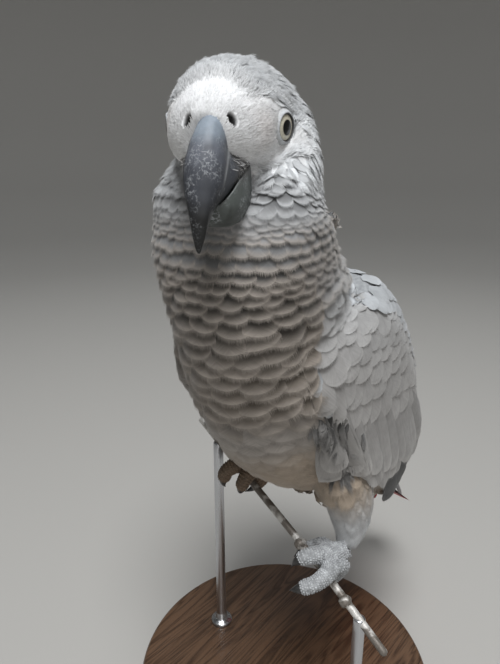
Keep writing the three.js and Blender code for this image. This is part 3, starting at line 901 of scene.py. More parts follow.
def smooth_pick(x, places, colours):
    """Colours along a line, changed smoothly between the places that have one each."""
    colours = np.array(colours)
    places = np.array(places, float)
    index = np.clip(np.searchsorted(places, x) - 1, 0, len(places) - 2)
    share = ease(0, 1, (x - places[index]) / (places[index + 1] - places[index]))
    return mix(colours[index], colours[index + 1], share[:, None])


def row_at(y, z):
    """The row that passes the front of the body at a height."""
    return body_row(np.array([[5.0, y, z]]))[0]


NECK_ROW, THROAT_ROW, BREAST_ROW, BELLY_ROW, LOW_ROW, RUMP_ROW, TAIL_ROW, LAST_ROW = (
    row_at(*place)
    for place in ((-30, 148), (-29, 136), (-24, 93), (-24, 78), (-14, 55), (40, 26), (56, 12), (66, 4))
)


def lore_share(points):
    """1 between the bill and the eye, where the skin shows pink through the sparse white hairs."""
    head = to_head(points)
    near = np.exp(-((head[:, 1] + 11) / 5) ** 2 - ((head[:, 2] - 1) / 5.5) ** 2)
    return near * ease(8, 12, np.abs(head[:, 0]))


def cheek_share(points):
    """1 on the pale cheek behind and below the bare face."""
    head = to_head(points)
    near = np.exp(-((head[:, 1] - 6) / 12) ** 4 - ((head[:, 2] + 7) / 10) ** 4)
    return near * ease(5, 11, np.abs(head[:, 0]))


def markings(points, part):
    """The coat's colour at places on the bird, and its feathers' paler edge there."""
    rows = body_row(points)
    colour = smooth_pick(
        rows,
        [0, 34, FAN_ROWS, NECK_ROW + 1, THROAT_ROW, BREAST_ROW, BELLY_ROW, LOW_ROW],
        [CROWN_GREY, CROWN_GREY, CHEEK_GREY, CHEEK_GREY, NECK_GREY_AND_SHADE, BREAST_GREY, BELLY_GREY, BELLY_LOW_WARM_SHADE],
    )
    colour = mix(colour, CHEEK_WHITE, cheek_share(points)[:, None])
    past_middle = points[:, 1] - TRUNK_MIDDLE_Y + TRUNK_LEAN * (points[:, 2] - TRUNK_MIDDLE_Z)
    behind = ease(-8, 14, past_middle)[:, None]
    below_neck = ease(NECK_ROW, THROAT_ROW + 3, rows)[:, None]
    colour = mix(colour, BACK_GREY, behind * below_neck)
    colour = mix(colour, RUMP_PALE, ease(RUMP_ROW - 2, RUMP_ROW + 2, rows)[:, None] * behind)
    tail_end = (ease(TAIL_ROW - 1.5, TAIL_ROW, rows) * ease(46, 52, points[:, 1]))[:, None]
    colour = mix(colour, TAIL_RED, tail_end)
    thigh = (part >= FIRST_THIGH_PART)[:, None]
    # Towards their tops the thighs blend into the lower belly's colour, with its painted shadow and warm
    # light.
    colour = np.where(thigh, mix(THIGH_GREY, BELLY_LOW_WARM_SHADE, ease(16, 40, points[:, 2:])), colour)
    wing = is_wing(part)[:, None]
    colour = np.where(wing, WING_GREY, colour)
    face = (face_share(points) * (part == HEAD_PART))[:, None]
    colour = mix(colour, mix(WHITE_FACE, LORE_TINT, 0.4 * lore_share(points)[:, None]), face)
    smooth_belly = 0.9 * ease(BREAST_ROW, BELLY_ROW, rows)[:, None]
    plain = np.clip(face + thigh + tail_end + wing + smooth_belly + 0.5 * behind * below_neck, 0, 1)
    rim = mix(RIM_PALE, BREAST_RIM, ease(NECK_ROW - 4, THROAT_ROW - 3, rows)[:, None])
    edge = mix(mix(colour, rim, 0.8), colour * 1.2, plain)
    return colour, np.clip(edge, 0, 0.85)


# ---- materials of the coat -----------------------------------------------------------------------

PLUMAGE = feather_material("plumage", streaks=0.12)
WING_FEATHER = feather_material("wing_feather", roughness=0.62, sheen=0.12, streaks=0.08, shaft=0.07)
RED_FEATHER = feather_material("red_feather", roughness=0.6, sheen=0.15, streaks=0.2, shaft=0.3)
FACE_HAIR = feather_material("face_hair", roughness=0.8, sheen=0.2, streaks=0.08)
SKIN = skin_material()

# ---- the skin's fine shape -----------------------------------------------------------------------

EYE_AIM = math.radians(68)  # between straight ahead and the way each eye looks
EYE_OUT = 1.9  # how far the eyeballs stand out of their solids
LID_LEVEL = 1.1  # the skin's height round the lids, from the eyeball's middle
NOSTRIL_AT = (6.3, -22.1, 5.0)  # in the bill's frame
NOSTRIL_SIZE = (1.6, 2.3)  # half width and half height
BILL_YAW = math.radians(4.6)  # the bill turns and leans a little more to the left than the head
BILL_LEAN = math.radians(5)
NOSTRIL_DEPTH = 2.6


def eye_frame(side):
    """The eyeball's middle, and the way it looks."""
    aim = unit(np.array([side * math.sin(EYE_AIM), -math.cos(EYE_AIM), 0.0]) @ HEAD)
    middle = (EYE_LEFT if side > 0 else EYE_RIGHT) + aim * EYE_OUT
    return middle, aim


def nostril_distance(points):
    """How far each place is from the nearer nostril's middle, in shares of the nostril's size."""
    x, y, z = to_head(points).T
    x, y = x * math.cos(BILL_YAW) + y * math.sin(BILL_YAW), y * math.cos(BILL_YAW) - x * math.sin(BILL_YAW)
    high = z - NOSTRIL_AT[2]
    across = np.hypot(np.abs(x) - NOSTRIL_AT[0] + 0.25 * high, 0.5 * (y - NOSTRIL_AT[1]))
    return np.hypot(across / NOSTRIL_SIZE[0], high / NOSTRIL_SIZE[1]) + 20.0 * (y > NOSTRIL_AT[1] + 6)


def refined(points, triangles, chosen):
    """Splits each chosen triangle in four. The new points lie on its edges."""
    parts = triangles[chosen]
    edges = np.sort(np.vstack([parts[:, [0, 1]], parts[:, [1, 2]], parts[:, [2, 0]]]), axis=1)
    lines, number = np.unique(edges, axis=0, return_inverse=True)
    ab, bc, ca = (len(points) + number.reshape(-1)).reshape(3, -1)
    a, b, c = parts.T
    small = [(a, ab, ca), (ab, b, bc), (ca, bc, c), (ab, bc, ca)]
    fresh = np.vstack([np.stack(corners, 1) for corners in small])
    return np.vstack([points, points[lines].mean(1)]), np.vstack([triangles[~chosen], fresh])


def on_face(points, margin=0.02):
    return (face_share(points) > margin) & (to_head(points)[:, 2] > -16) & (points[:, 2] > 140)


def make_skin():
    """The skin, finer on the face, with the nostrils sunk in it and painted near black as shade, hollows for
    the lids, and a painted shade below each eye.
    """
    points, triangles, part = skin_points, skin_triangles, skin_part
    for _ in range(2):
        chosen = on_face(points)[triangles].all(1)
        points, triangles = refined(points, triangles, chosen)
    part = np.zeros(len(points), int)
    part[: len(skin_part)] = skin_part
    tint = markings(points, part)[0] * 0.8
    tint[on_face(points)] /= 0.8
    normals = vertex_normals(points, triangles)
    distance = nostril_distance(points)
    pit = 1 - ease(0.55, 1.15, distance)
    rim = np.exp(-(((distance - 1.45) / 0.35) ** 2))
    points = points + normals * (0.02 * rim - NOSTRIL_DEPTH * pit)[:, None]
    # The nostrils' pits are painted near black: painted shade inside the holes.
    tint = mix(tint, grey(0.012), (1 - ease(0.85, 1.1, distance))[:, None])
    for side in (1, -1):
        middle, aim = eye_frame(side)
        away = points - middle
        height = away @ aim
        radius = np.linalg.norm(away - height[:, None] * aim, axis=1)
        near = (1 - ease(5.0, 9.5, radius)) * (np.abs(height) < 8)
        points = points - aim * ((height - LID_LEVEL) * near)[:, None]
        # Painted shade: a blue-grey shadow in the socket below each eye.
        shade = 0.35 * near * ease(-9, 2, -(away @ HEAD_UP) - 1)
        tint = mix(tint, grey(0.30, -0.08), shade[:, None])
    made = new_mesh("skin", points, triangles)
    paint(made, "tint", "FLOAT_COLOR", tint)
    return add_piece(made, SKIN, FLESH)


# ---- the coat of the body ------------------------------------------------------------------------

LARGE = vane_template(18, barbs=6, comb=0.10)
MEDIUM = vane_template(12, rows=(0.0, 0.4, 0.7, 0.92), barbs=5, comb=0.11)
DOWN = vane_template(5, rows=(0.0, 0.5, 0.85), barbs=4, comb=0.25, sides=0.5)
SMALL = vane_template(6, rows=(0.0, 0.5, 0.85), barbs=2, comb=0.38)


# How broad the feathers are against their rows' spacing, from the crown down to the rump.
BROADNESS_ROWS = (42, 50, THROAT_ROW, THROAT_ROW + 4, BELLY_ROW, BELLY_ROW + 5)
BROADNESS = (1.15, 2.2, 2.7, 3.5, 3.4, 2.6)
WING_LOOSE = 70  # past this far along the wing its edge stands free of the body
BESIDE_WING_WIDTH = 3.4  # the widest that a feather is right beside the wing's edge


def under_wing(points, depth):
    """Whether a place is deeper than this inside the outline of the wing where it lies close."""
    return (inside_wing(points) > depth) & (wing_place(points)[0] < WING_LOOSE)


def lay_body():
    """Rows of feathers over the head, neck, trunk and rump, in pieces of a band of rows each."""
    on_body = (skin_part < FIRST_WING_PART) & (face_share(skin_points) < 0.5)
    broad = mix(np.interp(skin_row, BROADNESS_ROWS, BROADNESS), 1.0, cheek_share(skin_points))
    loose = ease(WING_LOOSE, WING_LOOSE + 10, wing_place(skin_points)[0])
    from_wing = np.maximum(-inside_wing(skin_points), 100 * loose)
    broad = np.minimum(broad, (BESIDE_WING_WIDTH + 1.3 * np.maximum(from_wing - 2, 0)) / row_spacing)
    roots, near = row_roots(
        skin_row, np.arange(2.5, LAST_ROW), row_spacing * broad * 0.62, on_body, row_skip,
    )
    spacing = row_spacing[near]
    length = spacing * rng.uniform(2.4, 2.9, len(roots))
    tips = roots + skin_flow[near] * (length * 0.9)[:, None]
    over = under_wing(tips, 2.5)
    length = np.where(over, 0.6 * length, length)
    tips = roots + skin_flow[near] * (length * 0.9)[:, None]
    over = (over & (inside_wing(tips) > 3.5)) | under_wing(roots, -2.5)
    roots, near, spacing, length = roots[~over], near[~over], spacing[~over], length[~over]
    rows = body_row(roots)
    colour, edge = markings(roots, skin_part[near])
    count = len(roots)
    cheek = cheek_share(roots)
    fine = np.maximum(1 - ease(42, 50, rows), cheek)
    colour = colour * rng.normal(1, mix(0.07, 0.20, fine), count)[:, None]
    edge = edge * rng.normal(1, mix(0.06, 0.12, fine), count)[:, None]
    full = full_depths[near]
    width = spacing * broad[near] * rng.uniform(0.86, 1.16, count)
    turn = rng.normal(0, mix(0.07, 0.35, fine), count)
    tilt = rng.normal(0, mix(0.06, 0.30, fine), count)
    rough = ease(NECK_ROW, THROAT_ROW, rows) * (1 - ease(BREAST_ROW, BELLY_ROW, rows))
    heights = (full * 0.08, full * mix(0.5, 0.45, rough), full * mix(0.85, 1.05, rough))
    # The last number of each band is how dark its feathers' roots are painted, as painted shade between the
    # rows.
    bands = (
        ("coat_head", SMALL, (rows < 45) | (cheek > 0.4), 0.45, 0.7),
        ("coat_neck", MEDIUM, (rows >= 45) & (rows < THROAT_ROW) & (cheek <= 0.4), 0.70, 0.5),
        ("coat_breast", LARGE, (rows >= THROAT_ROW) & (rows < BELLY_ROW + 2), 0.66, 0.5),
        ("coat_rump", MEDIUM, rows >= BELLY_ROW + 2, 0.80, 0.8),
    )
    for name, template, band, rim_start, dark_root in bands:
        coat = Coat(name, PLUMAGE, "plumage")
        lay(
            coat, template, roots[band], length[band], width[band], colour[band], edge[band],
            [h[band] for h in heights], turn=turn[band], tilt=tilt[band], cup=0.35, rim_start=rim_start,
            dark_root=dark_root,
        )
        coat.finish()


def lay_thighs():
    """Soft narrow feathers in close rows down the thighs."""
    coat = Coat("coat_thighs", PLUMAGE, "thigh")
    row = -skin_points[:, 2] / THIGH_ROW
    pitch = np.full(len(skin_points), THIGH_ROW * 0.55)
    every_row = np.ones(len(skin_points), int)
    first, last = int(row[on_thigh].min()), int(row[on_thigh].max()) + 1
    roots, near = row_roots(row, np.arange(first, last), pitch, on_thigh, every_row)
    colour, edge = markings(roots, skin_part[near])
    count = len(roots)
    shade = rng.normal(1, 0.04, (count, 1))
    length = THIGH_ROW * rng.uniform(2.6, 3.8, count)
    lay(
        coat, DOWN, roots, length, THIGH_ROW * rng.uniform(0.9, 1.3, count), colour * shade, edge * shade,
        (0.1, 0.7, rng.uniform(0.8, 1.4, count)), turn=rng.normal(0, 0.12, count),
        tilt=rng.normal(0, 0.12, count), cup=0.3, dark_root=0.92,
    )
    coat.finish()


HAIR = vane_template(1, rows=(0.0, 0.5, 1.0), barbs=0, sides=1.0)


def hair_flow(points):
    """Hairs on the face run back from the bill, up over the forehead and down below the eye."""
    head = to_head(points)
    out = head - np.array([0, -30, -4])
    return unit(out * (1.0, 1.3, 1.1)) @ HEAD


def lay_face():
    """Short white hairs over the cere and the bare face, thinner in front of the eyes."""
    corners = skin_points[skin_triangles]
    middles = corners.mean(1)
    area = np.linalg.norm(np.cross(corners[:, 1] - corners[:, 0], corners[:, 2] - corners[:, 0]), axis=1) / 2
    density = np.where(on_face(middles, 0.02), 11.0, 0.0)
    density = density * (1 - 0.3 * lore_share(middles))
    counts = rng.poisson(area * density)
    chosen = np.repeat(np.arange(len(counts)), counts)
    first, second = rng.random((2, len(chosen), 1))
    swap = first + second > 1
    first, second = np.where(swap, 1 - first, first), np.where(swap, 1 - second, second)
    a, b, c = corners[chosen, 0], corners[chosen, 1], corners[chosen, 2]
    roots = a + (b - a) * first + (c - a) * second
    clear = nostril_distance(roots) > 1.0
    for side in (1, -1):
        middle, aim = eye_frame(side)
        away = roots - middle
        height = away @ aim
        radius = np.linalg.norm(away - height[:, None] * aim, axis=1)
        clear &= (radius > 4.9) | (height < 0)
    roots = roots[clear]
    count = len(roots)
    head = to_head(roots)
    crown = ease(8, 16, head[:, 2])
    fringe = 1 - ease(0.3, 0.9, face_share(roots))
    length = mix(mix(2.0, 3.2, crown), 4.2, fringe) * rng.uniform(0.7, 1.3, count)
    length *= mix(0.5, 1.0, ease(1.1, 2.0, nostril_distance(roots)))
    width = rng.uniform(0.11, 0.22, count)
    colour = markings(roots, np.zeros(count, int))[0]
    colour = mix(colour, WHITE_FACE, 0.35) * rng.normal(1.0, 0.05, (count, 1))
    coat = Coat("face_hairs", FACE_HAIR, "plumage")
    lay(
        coat, HAIR, roots, length, width, colour, colour * 1.06,
        (0.0, mix(0.3, 0.8, fringe), rng.uniform(0.25, 0.75, count) + 1.1 * fringe),
        turn=rng.normal(0, 0.22, count), flow=hair_flow(roots), cup=0.0, dark_root=0.9,
    )
    coat.finish()


# ---- wings ---------------------------------------------------------------------------------------

def wing_spots(side, along, turn):
    """Places on the folded wing: along it from the shoulder, and turned about its middle line,
    forwards below 0 and to the back above it, in degrees."""
    front, rear, out = (np.interp(along, WING[:, 0], WING[:, column]) for column in (1, 2, 3))
    outwards = np.array([side, 0, 0])
    middle = WING_START + along[:, None] * WING_WAY + ((front + rear) / 2)[:, None] * WING_REARWARDS
    middle = middle + out[:, None] * outwards
    way = wing_outwards(side, turn)
    places = []
    for start, aim in zip(middle + way * 90, -way):
        hit = skin_tree.ray_cast(Vector(start), Vector(aim))[0]
        places.append(start + aim * 60 if hit is None else np.array(hit))
    return np.array(places)


def wing_patch(turn, along):
    """The place of a wing feather's patch on the map."""
    return np.stack([turn / 180, along / 160], 1)


COVERT = vane_template(12, rows=(0.0, 0.3, 0.55, 0.78, 0.95), barbs=2, comb=0.02, sides=0.62, power=2.3)
QUILL = vane_template(10, rows=(0.0, 0.25, 0.5, 0.7, 0.85, 0.97), barbs=2, comb=0.012, sides=0.80, power=2.2)

# Rows of the wing's feathers: the level of their tips, their length and their width.
WING_ROWS = (
    (137, 8.5, 6),
    (132, 8.5, 6.2),
    (127.5, 8.5, 6.3),
    (123, 9, 6.4),
    (119, 9, 6.5),
    (115, 9, 6.8),
    (111, 9.5, 7.2),
    (107, 10, 7.6),
    (103, 10.5, 8),
    (98.5, 11, 8.8),
    (93.5, 12.5, 10),
    (87.5, 14.5, 11.5),
    (80, 17.5, 13),
    (71, 20, 13.5),
    (61, 23, 13),
    (51, 27, 12),
)
SECONDARIES = ((28, 46, 9), (33, 44, 9.5))
DARK_TIPS = (9, 43, 9)  # the ends of the flight feathers, behind the others
ROW_RAGGED = 1.2  # how far a tip may lie off its row
LEVEL_FALL = 0.22  # how much the rows fall to the rear
WING_DOWN = unit([0, 0.26, -0.97])
WING_HEM = 46  # the level where the feathers leave the flesh
WING_ROOTS_END = 112.0  # how far along the wing the last roots lie
TURNS = np.arange(-58.0, 76.0, 3.0)
ALONGS = np.arange(-15.0, WING_ROOTS_END, 3.0)


COVERT_RIM = 1.14  # the rim of a covert against its middle
COVERT_SHAPE = dict(tilt=-0.05, cup=0.25, dark_root=0.88, rim_start=0.88)
FLUFF_COUNT = 170
SHOULDER_GAP = 4.0  # between neighbouring feathers on top of the shoulder


def wing_level(points):
    return points[..., 2] + LEVEL_FALL * points[..., 1]


def wing_map(side):
    """The level at each place of a grid over the wing, with a row for each turn."""
    turn, along = np.meshgrid(TURNS, ALONGS, indexing="ij")
    return wing_level(wing_spots(side, along.ravel(), turn.ravel())).reshape(turn.shape)


def over_wing(points):
    """Like on_skin, but places past the wing's hem keep straight on."""
    place, normal, flow, vertex = on_skin(points)
    past = ease(-WING_HEM - 4, -WING_HEM + 4, -wing_level(points))[..., None]
    return mix(place, points, past), normal, unit(mix(flow, WING_DOWN, past)), vertex


def wing_row(coat, template, side, levels, row, heights, tint, edge, first_turn=-90, ragged=ROW_RAGGED,
             sweep=(0, 60), **more):
    """One row of feathers across the wing, from its front edge or first_turn to the back."""
    tip_level, length, width = row
    level = tip_level + 0.96 * length
    along = np.array([np.interp(-level, -column, ALONGS, -99, 199) for column in levels])
    line = wing_spots(side, along, TURNS)
    reach = np.append(0, np.cumsum(np.linalg.norm(np.diff(line, axis=0), axis=1)))
    used = (along > start_along(TURNS) - 4) & (along < WING_ROOTS_END)
    used &= TURNS > np.maximum(front_turn(along) - 6, first_turn)
    used &= TURNS < np.interp(tip_level, (70, 100), (WING_BACK + 1, 56))
    if used.sum() < 2:
        return
    start, end = reach[used][0] + 0.25 * width, reach[used][-1]
    at = np.arange(start, end, 0.66 * width)
    at = at + 0.33 * width * (len(coat.points) % 2) + rng.normal(0, 0.05 * width, len(at))
    count = len(at)
    turn = np.interp(at, reach, TURNS)
    along = np.interp(at, reach, along) + rng.normal(0, ragged, count)
    length = length * rng.uniform(0.92, 1.08, count)
    roots = wing_spots(side, along, turn)
    edge_lift = 1 - ease(3, 14, at - reach[used][0])
    heights = (heights[0], heights[1] + 0.8 * edge_lift, heights[2] + 1.3 * edge_lift)
    flow = unit(mix(WING_DOWN, WING_WAY, ease(*sweep, turn)[:, None]))
    spot = wing_patch(turn, along)
    shade = rng.normal(1, 0.05, (count, 1))
    width = width * rng.uniform(0.9, 1.15, count)
    lay(
        coat, template, roots, length, width, tint * shade, edge * shade, heights, spot=spot,
        flow=flow, turn=rng.normal(0, 0.06, count), seed=rng.uniform(0, 50, count),
        surface=over_wing, **more,
    )


def lay_wing(side, word):
    """One wing's rows, from the dark ends of the flight feathers up to the smallest coverts."""
    coverts = Coat(f"wing_{word}_covert_feathers", WING_FEATHER, "wing")
    quills = Coat(f"wing_{word}_quills", WING_FEATHER, "wing")
    levels = wing_map(side)
    dark = Coat(f"wing_{word}_dark_tips", WING_FEATHER, "primaries")
    wing_row(
        dark, QUILL, side, levels, DARK_TIPS, (0.2, 1.0, 2.6), FLIGHT_GREY[None], FLIGHT_GREY[None] * 2,
        first_turn=-22, ragged=2.0, sweep=(-50, 16), tilt=-0.10, cup=0.3, dark_root=0.9, rim_start=0.9,
    )
    dark.finish()
    for row in SECONDARIES:
        wing_row(
            quills, QUILL, side, levels, row, (0.4, 2.0, 4.2), QUILL_GREY[None], QUILL_GREY[None] * 1.35,
            ragged=2.0, sweep=(-10, 50), tilt=-0.16, cup=0.35, dark_root=0.8, rim_start=0.86,
        )
    for number, row in enumerate(reversed(WING_ROWS)):
        share = number / (len(WING_ROWS) - 1)
        # The coverts are painted paler row by row towards the top: painted light falling from above.
        tint = mix(QUILL_GREY * 1.08, WING_GREY * 1.32, share**1.5)
        wing_row(
            coverts, COVERT, side, levels, row, (0.2, 0.9, 1.7), tint[None], tint[None] * COVERT_RIM,
            **COVERT_SHAPE,
        )
    front = np.arange(6, 26, 4.0)
    count = len(front)
    turn = front_turn(front) + 1 + rng.normal(0, 1.0, count)
    roots = wing_spots(side, front, turn)
    lay(
        coverts, COVERT, roots, np.full(count, 11.0), np.full(count, 7.5),
        WING_GREY * rng.normal(1, 0.05, (count, 1)), WING_GREY * rng.normal(1.1, 0.05, (count, 1)),
        (0.4, 1.3, 1.8), flow=np.tile(WING_DOWN, (count, 1)), spot=wing_patch(turn, front),
        tilt=0.0, cup=0.4, dark_root=0.85,
    )
    coverts.finish()
    quills.finish()
    lay_shoulder(side, word)
    lay_fluff(side, word)


def lay_fluff(side, word):
    """Loose dark down along the wing's front edge."""
    fluff = Coat(f"wing_{word}_fluff", PLUMAGE, "wing")
    count = FLUFF_COUNT
    along = rng.uniform(24, 62, count)
    turn = front_turn(along) - 4 + rng.normal(0, 3.5, count)
    roots = wing_spots(side, along, turn)
    flow = unit(WING_DOWN + rng.normal(0, 0.12, (count, 3)))
    tint = FLUFF_GREY * rng.uniform(0.3, 1.4, (count, 1))
    lay(
        fluff, DOWN, roots, rng.uniform(8, 14, count), rng.uniform(1.2, 2.4, count), tint, tint * 1.9,
        (1.0, 2.6, rng.uniform(2.6, 4.2, count)), flow=flow, spot=wing_patch(turn, along),
        tilt=rng.normal(0, 0.12, count), cup=0.15, dark_root=0.7,
    )
    fluff.finish()


def spread(mask, gap):
    """The numbers of skin points of the mask, picked so that no two lie closer than the gap."""
    picked = []
    for number in rng.permutation(np.flatnonzero(mask)):
        away = skin_points[picked] - skin_points[number]
        if not picked or np.min(np.sum(away * away, 1)) > gap * gap:
            picked.append(number)
    return np.array(picked)


def lay_shoulder(side, word):
    """Feathers over the top of the shoulder and down beside the back, inside the wing's own rows."""
    along, turn = wing_place(skin_points)
    past = along - start_along(turn)
    inner = (past > -4) & (turn > mix(36, 48, ease(8, 18, past))) & (along < 125)
    inner &= (skin_points[:, 0] * side > 0) & below_neck_part(skin_part)
    inner &= np.sum(skin_normals * wing_outwards(side, turn), 1) > 0.1
    near = spread(inner, SHOULDER_GAP)
    roots = skin_points[near]
    count = len(roots)
    # Paler at the top of the shoulder and darker further along: painted light from above.
    tint = mix(WING_GREY * 1.25, QUILL_GREY, ease(10, 100, along[near])[:, None])
    tint = tint * rng.normal(1, 0.05, (count, 1))
    coat = Coat(f"wing_{word}_shoulder_feathers", WING_FEATHER, "wing")
    lay(
        coat, COVERT, roots, rng.uniform(9, 11, count), rng.uniform(6.0, 7.4, count), tint,
        tint * COVERT_RIM, (0.4, 1.3, 2.1), flow=np.tile(WING_WAY, (count, 1)),
        spot=wing_patch(turn[near], along[near]), turn=rng.normal(0, 0.08, count),
        seed=rng.uniform(0, 50, count), **COVERT_SHAPE,
    )
    coat.finish()


PRIMARIES = np.array([  # along, front, rear and out
    (100, -14, 12, 20),
    (130, -12, 13, 17),
    (165, -6, 13, 13),
    (196, 2, 12, 9),
    (206, 6, 10, 8),
])
PRIMARIES_LEAN = math.radians(38)
PRIMARY_COUNT = 9
PRIMARY_STEP = 9.5  # between the tips of two neighbours
PRIMARY_WIDTH = 13
PRIMARY_LAYER = 0.5  # between one primary and the next below it
PRIMARY_ROOT = 92  # how far along the wing they start
PRIMARY_TIP = 206  # and how far along it the longest ends


def lay_primaries(side, word):
    """Long dark blades from under the secondaries, the longest lowest."""
    coat = Coat(f"wing_{word}_primary_feathers", WING_FEATHER, "primaries")
    outwards = np.array([side, 0, 0])
    lean = PRIMARIES_LEAN
    across = math.cos(lean) * WING_REARWARDS - math.sin(lean) * outwards
    up = math.cos(lean) * outwards + math.sin(lean) * WING_REARWARDS
    steps = 8
    spine = []
    for number in range(PRIMARY_COUNT):
        tip = PRIMARY_TIP - number * PRIMARY_STEP
        along = np.linspace(PRIMARY_ROOT, tip, steps + 1)
        front, rear, out = (np.interp(along, PRIMARIES[:, 0], PRIMARIES[:, k]) for k in (1, 2, 3))
        line = WING_START + along[:, None] * WING_WAY + ((front + rear) / 2)[:, None] * WING_REARWARDS
        line = line + out[:, None] * outwards
        layer = (number - PRIMARY_COUNT / 2) * PRIMARY_LAYER
        offset = across * (number - PRIMARY_COUNT / 2) * 0.9
        spine.append(line + up * layer * np.linspace(1.0, 0.5, steps + 1)[:, None] + offset)
    spine = np.array(spine)
    sides = np.broadcast_to(across * side, spine.shape)
    normals = np.broadcast_to(up, spine.shape)
    count = PRIMARY_COUNT
    tint = FLIGHT_GREY * rng.normal(1, 0.08, (count, 1))
    spot = np.stack([np.arange(count) / count, np.zeros(count)], 1)
    dress(
        coat, QUILL, spine, sides, normals, np.full(count, float(PRIMARY_WIDTH)), tint, tint * 1.5,
        (0, 0, 0), spot, cup=0.5, dark_root=1.0, rim_start=0.88,
    )
    coat.finish([f"wing_{word}_primaries"])


# ---- tail ----------------------------------------------------------------------------------------

TAIL = np.array([  # y, z, half width, reach above and reach below
    (52, 14, 14, 10, 11),
    (70, -1, 17, 8, 9),
    (92, -19, 17.5, 4.4, 5),
    (114, -38, 17.5, 2.4, 2.6),
    (132, -53, 16.5, 1.2, 1.4),
    (137, -57, 12, 0.6, 0.6),
])
TAIL_PAIRS = 6
TAIL_COVERT_ROWS = ((78, 26, 8.5), (68, 28, 8.5), (58, 28, 8.5), (48, 26, 8))  # start, length and width
TAIL_COVERTS = 8  # in each row


def tail_line(y, above):
    """Places on the tail's top (above 1), middle (0) or underside (-1), with their normals."""
    z, up, down = (np.interp(y, TAIL[:, 0], TAIL[:, k]) for k in (1, 3, 4))
    slope = np.gradient(TAIL[:, 1], TAIL[:, 0])
    fall = np.interp(y, TAIL[:, 0], slope)
    normal = unit(np.stack([np.zeros_like(fall), -fall, np.ones_like(fall)], -1))
    reach = np.where(above > 0, up * above, down * above)
    return np.stack([np.zeros_like(z), y, z], -1) + normal * reach[..., None], normal


def tail_blades(coat, template, starts, lengths, across, above, width, tint, roof, cup):
    """Blades down the tail: starts and lengths along y, across from the middle, and above as the
    share of the way to the tail's top."""
    steps = np.linspace(0, 1, 9)
    y = starts[:, None] + lengths[:, None] * steps
    spine, normals = tail_line(y, above)
    half = np.interp(y, TAIL[:, 0], TAIL[:, 2]) / 17.5
    spread = across[:, None] * half * mix(0.75, 1.0, steps)
    spine = spine + np.stack([spread, np.zeros_like(y), np.zeros_like(y)], -1)
    spine = spine - normals * (roof * np.abs(spread) ** 1.5)[..., None]
    sides = np.zeros_like(spine)
    sides[..., 0] = 1.0
    lean = (-roof * 1.5 * np.abs(spread) ** 0.5 * np.sign(spread))[..., None]
    sides = unit(sides + normals * lean)
    spot = np.stack([across / 40, starts / 140], 1)
    dress(
        coat, template, spine, sides, normals, width, tint, tint * 1.15, (0, 0, 0), spot,
        cup=cup, dark_root=0.8, rim_start=0.85,
    )


def lay_tail():
    coat = Coat("tail_feathers", RED_FEATHER, "tail")
    pair = np.arange(TAIL_PAIRS)
    for way in (1, -1):
        across = way * (2.0 + pair * 2.35)
        count = len(pair)
        tint = TAIL_RED * rng.normal(1, 0.06, (count, 1))
        lengths = 76 - pair * 1.6 - 2.0
        tail_blades(
            coat, QUILL, np.full(count, 60.0), lengths, across, 0.35 - 0.2 * pair[:, None],
            np.full(count, 12.5), tint, 0.010, 0.25,
        )
    for above in (0.9, -0.9):
        for start, length, width in TAIL_COVERT_ROWS:
            across = np.linspace(-11.5, 11.5, TAIL_COVERTS) + rng.normal(0, 0.5, TAIL_COVERTS)
            count = len(across)
            tint = TAIL_RED * rng.normal(1, 0.07, (count, 1))
            tail_blades(
                coat, COVERT, np.full(count, float(start)) + rng.normal(0, 1, count),
                np.full(count, float(length)), across, np.full((count, 1), above),
                np.full(count, float(width)), tint, 0.045 * np.sign(above), 0.4 * np.sign(above),
            )
    coat.finish(["tail"])


# ---- eyes ----------------------------------------------------------------------------------------

IRIS_LEVEL = 2.15  # height of the iris's rim from the eyeball's middle
IRIS_DOME = 0.9  # rise of the eye's front over that rim
PUPIL = 2.4
IRIS = 3.95
PUPIL_BLACK = grey(0.004)
IRIS_CREAM = np.array([0.58, 0.55, 0.45])
IRIS_INNER = np.array([0.40, 0.37, 0.30])
LIMBUS = grey(0.03)
LID_SKIN = grey(0.50, -0.04)
LID_EDGE = grey(0.05)


def spin(profile, sides, middle, aim, ripple=None):
    """A surface turned about an axis: profile is (radius, height) pairs. ripple changes the heights
    from each ring's radius and the angles."""
    first = unit(np.cross(aim, HEAD_UP))
    second = np.cross(aim, first)
    angle = np.arange(sides) / sides * 2 * np.pi
    rings = []
    for radius, height in profile:
        rise = height + (ripple(radius, angle) if ripple else 0 * angle)
        flat = np.cos(angle)[:, None] * first + np.sin(angle)[:, None] * second
        rings.append(middle + flat * radius + rise[:, None] * aim)
    quads = strip_faces(len(profile), sides)
    return np.vstack(rings), quads, np.tile(angle, len(profile)), np.repeat([r for r, _ in profile], sides)


BALL_SIDES = 72
LID_SIDES = 120


def eye_material():
    shader = Shader("eye", 0.35, Coat_Weight=0.5, Coat_Roughness=0.03, Specular_IOR_Level=0.15)
    tint = shader.attribute("tint")
    ray = shader.attribute("ray", "Vector")
    streaks = shader.noise(1.0, 3.0, ray)
    shade = shader.remap(streaks, 0.3, 0.7, 0.78, 1.18)
    shader.set("Base Color", shader.tinted(tint, shade))
    return shader.material


def lid_material():
    shader = Shader("lid", 0.6, Specular_IOR_Level=0.35)
    tint = shader.attribute("tint")
    creases = shader.noise(2200, 3.0, shader.place())
    shade = shader.remap(creases, 0.3, 0.7, 0.86, 1.12)
    shader.set("Base Color", shader.tinted(tint, shade))
    shader.bump(creases, 0.4, 0.0001)
    return shader.material


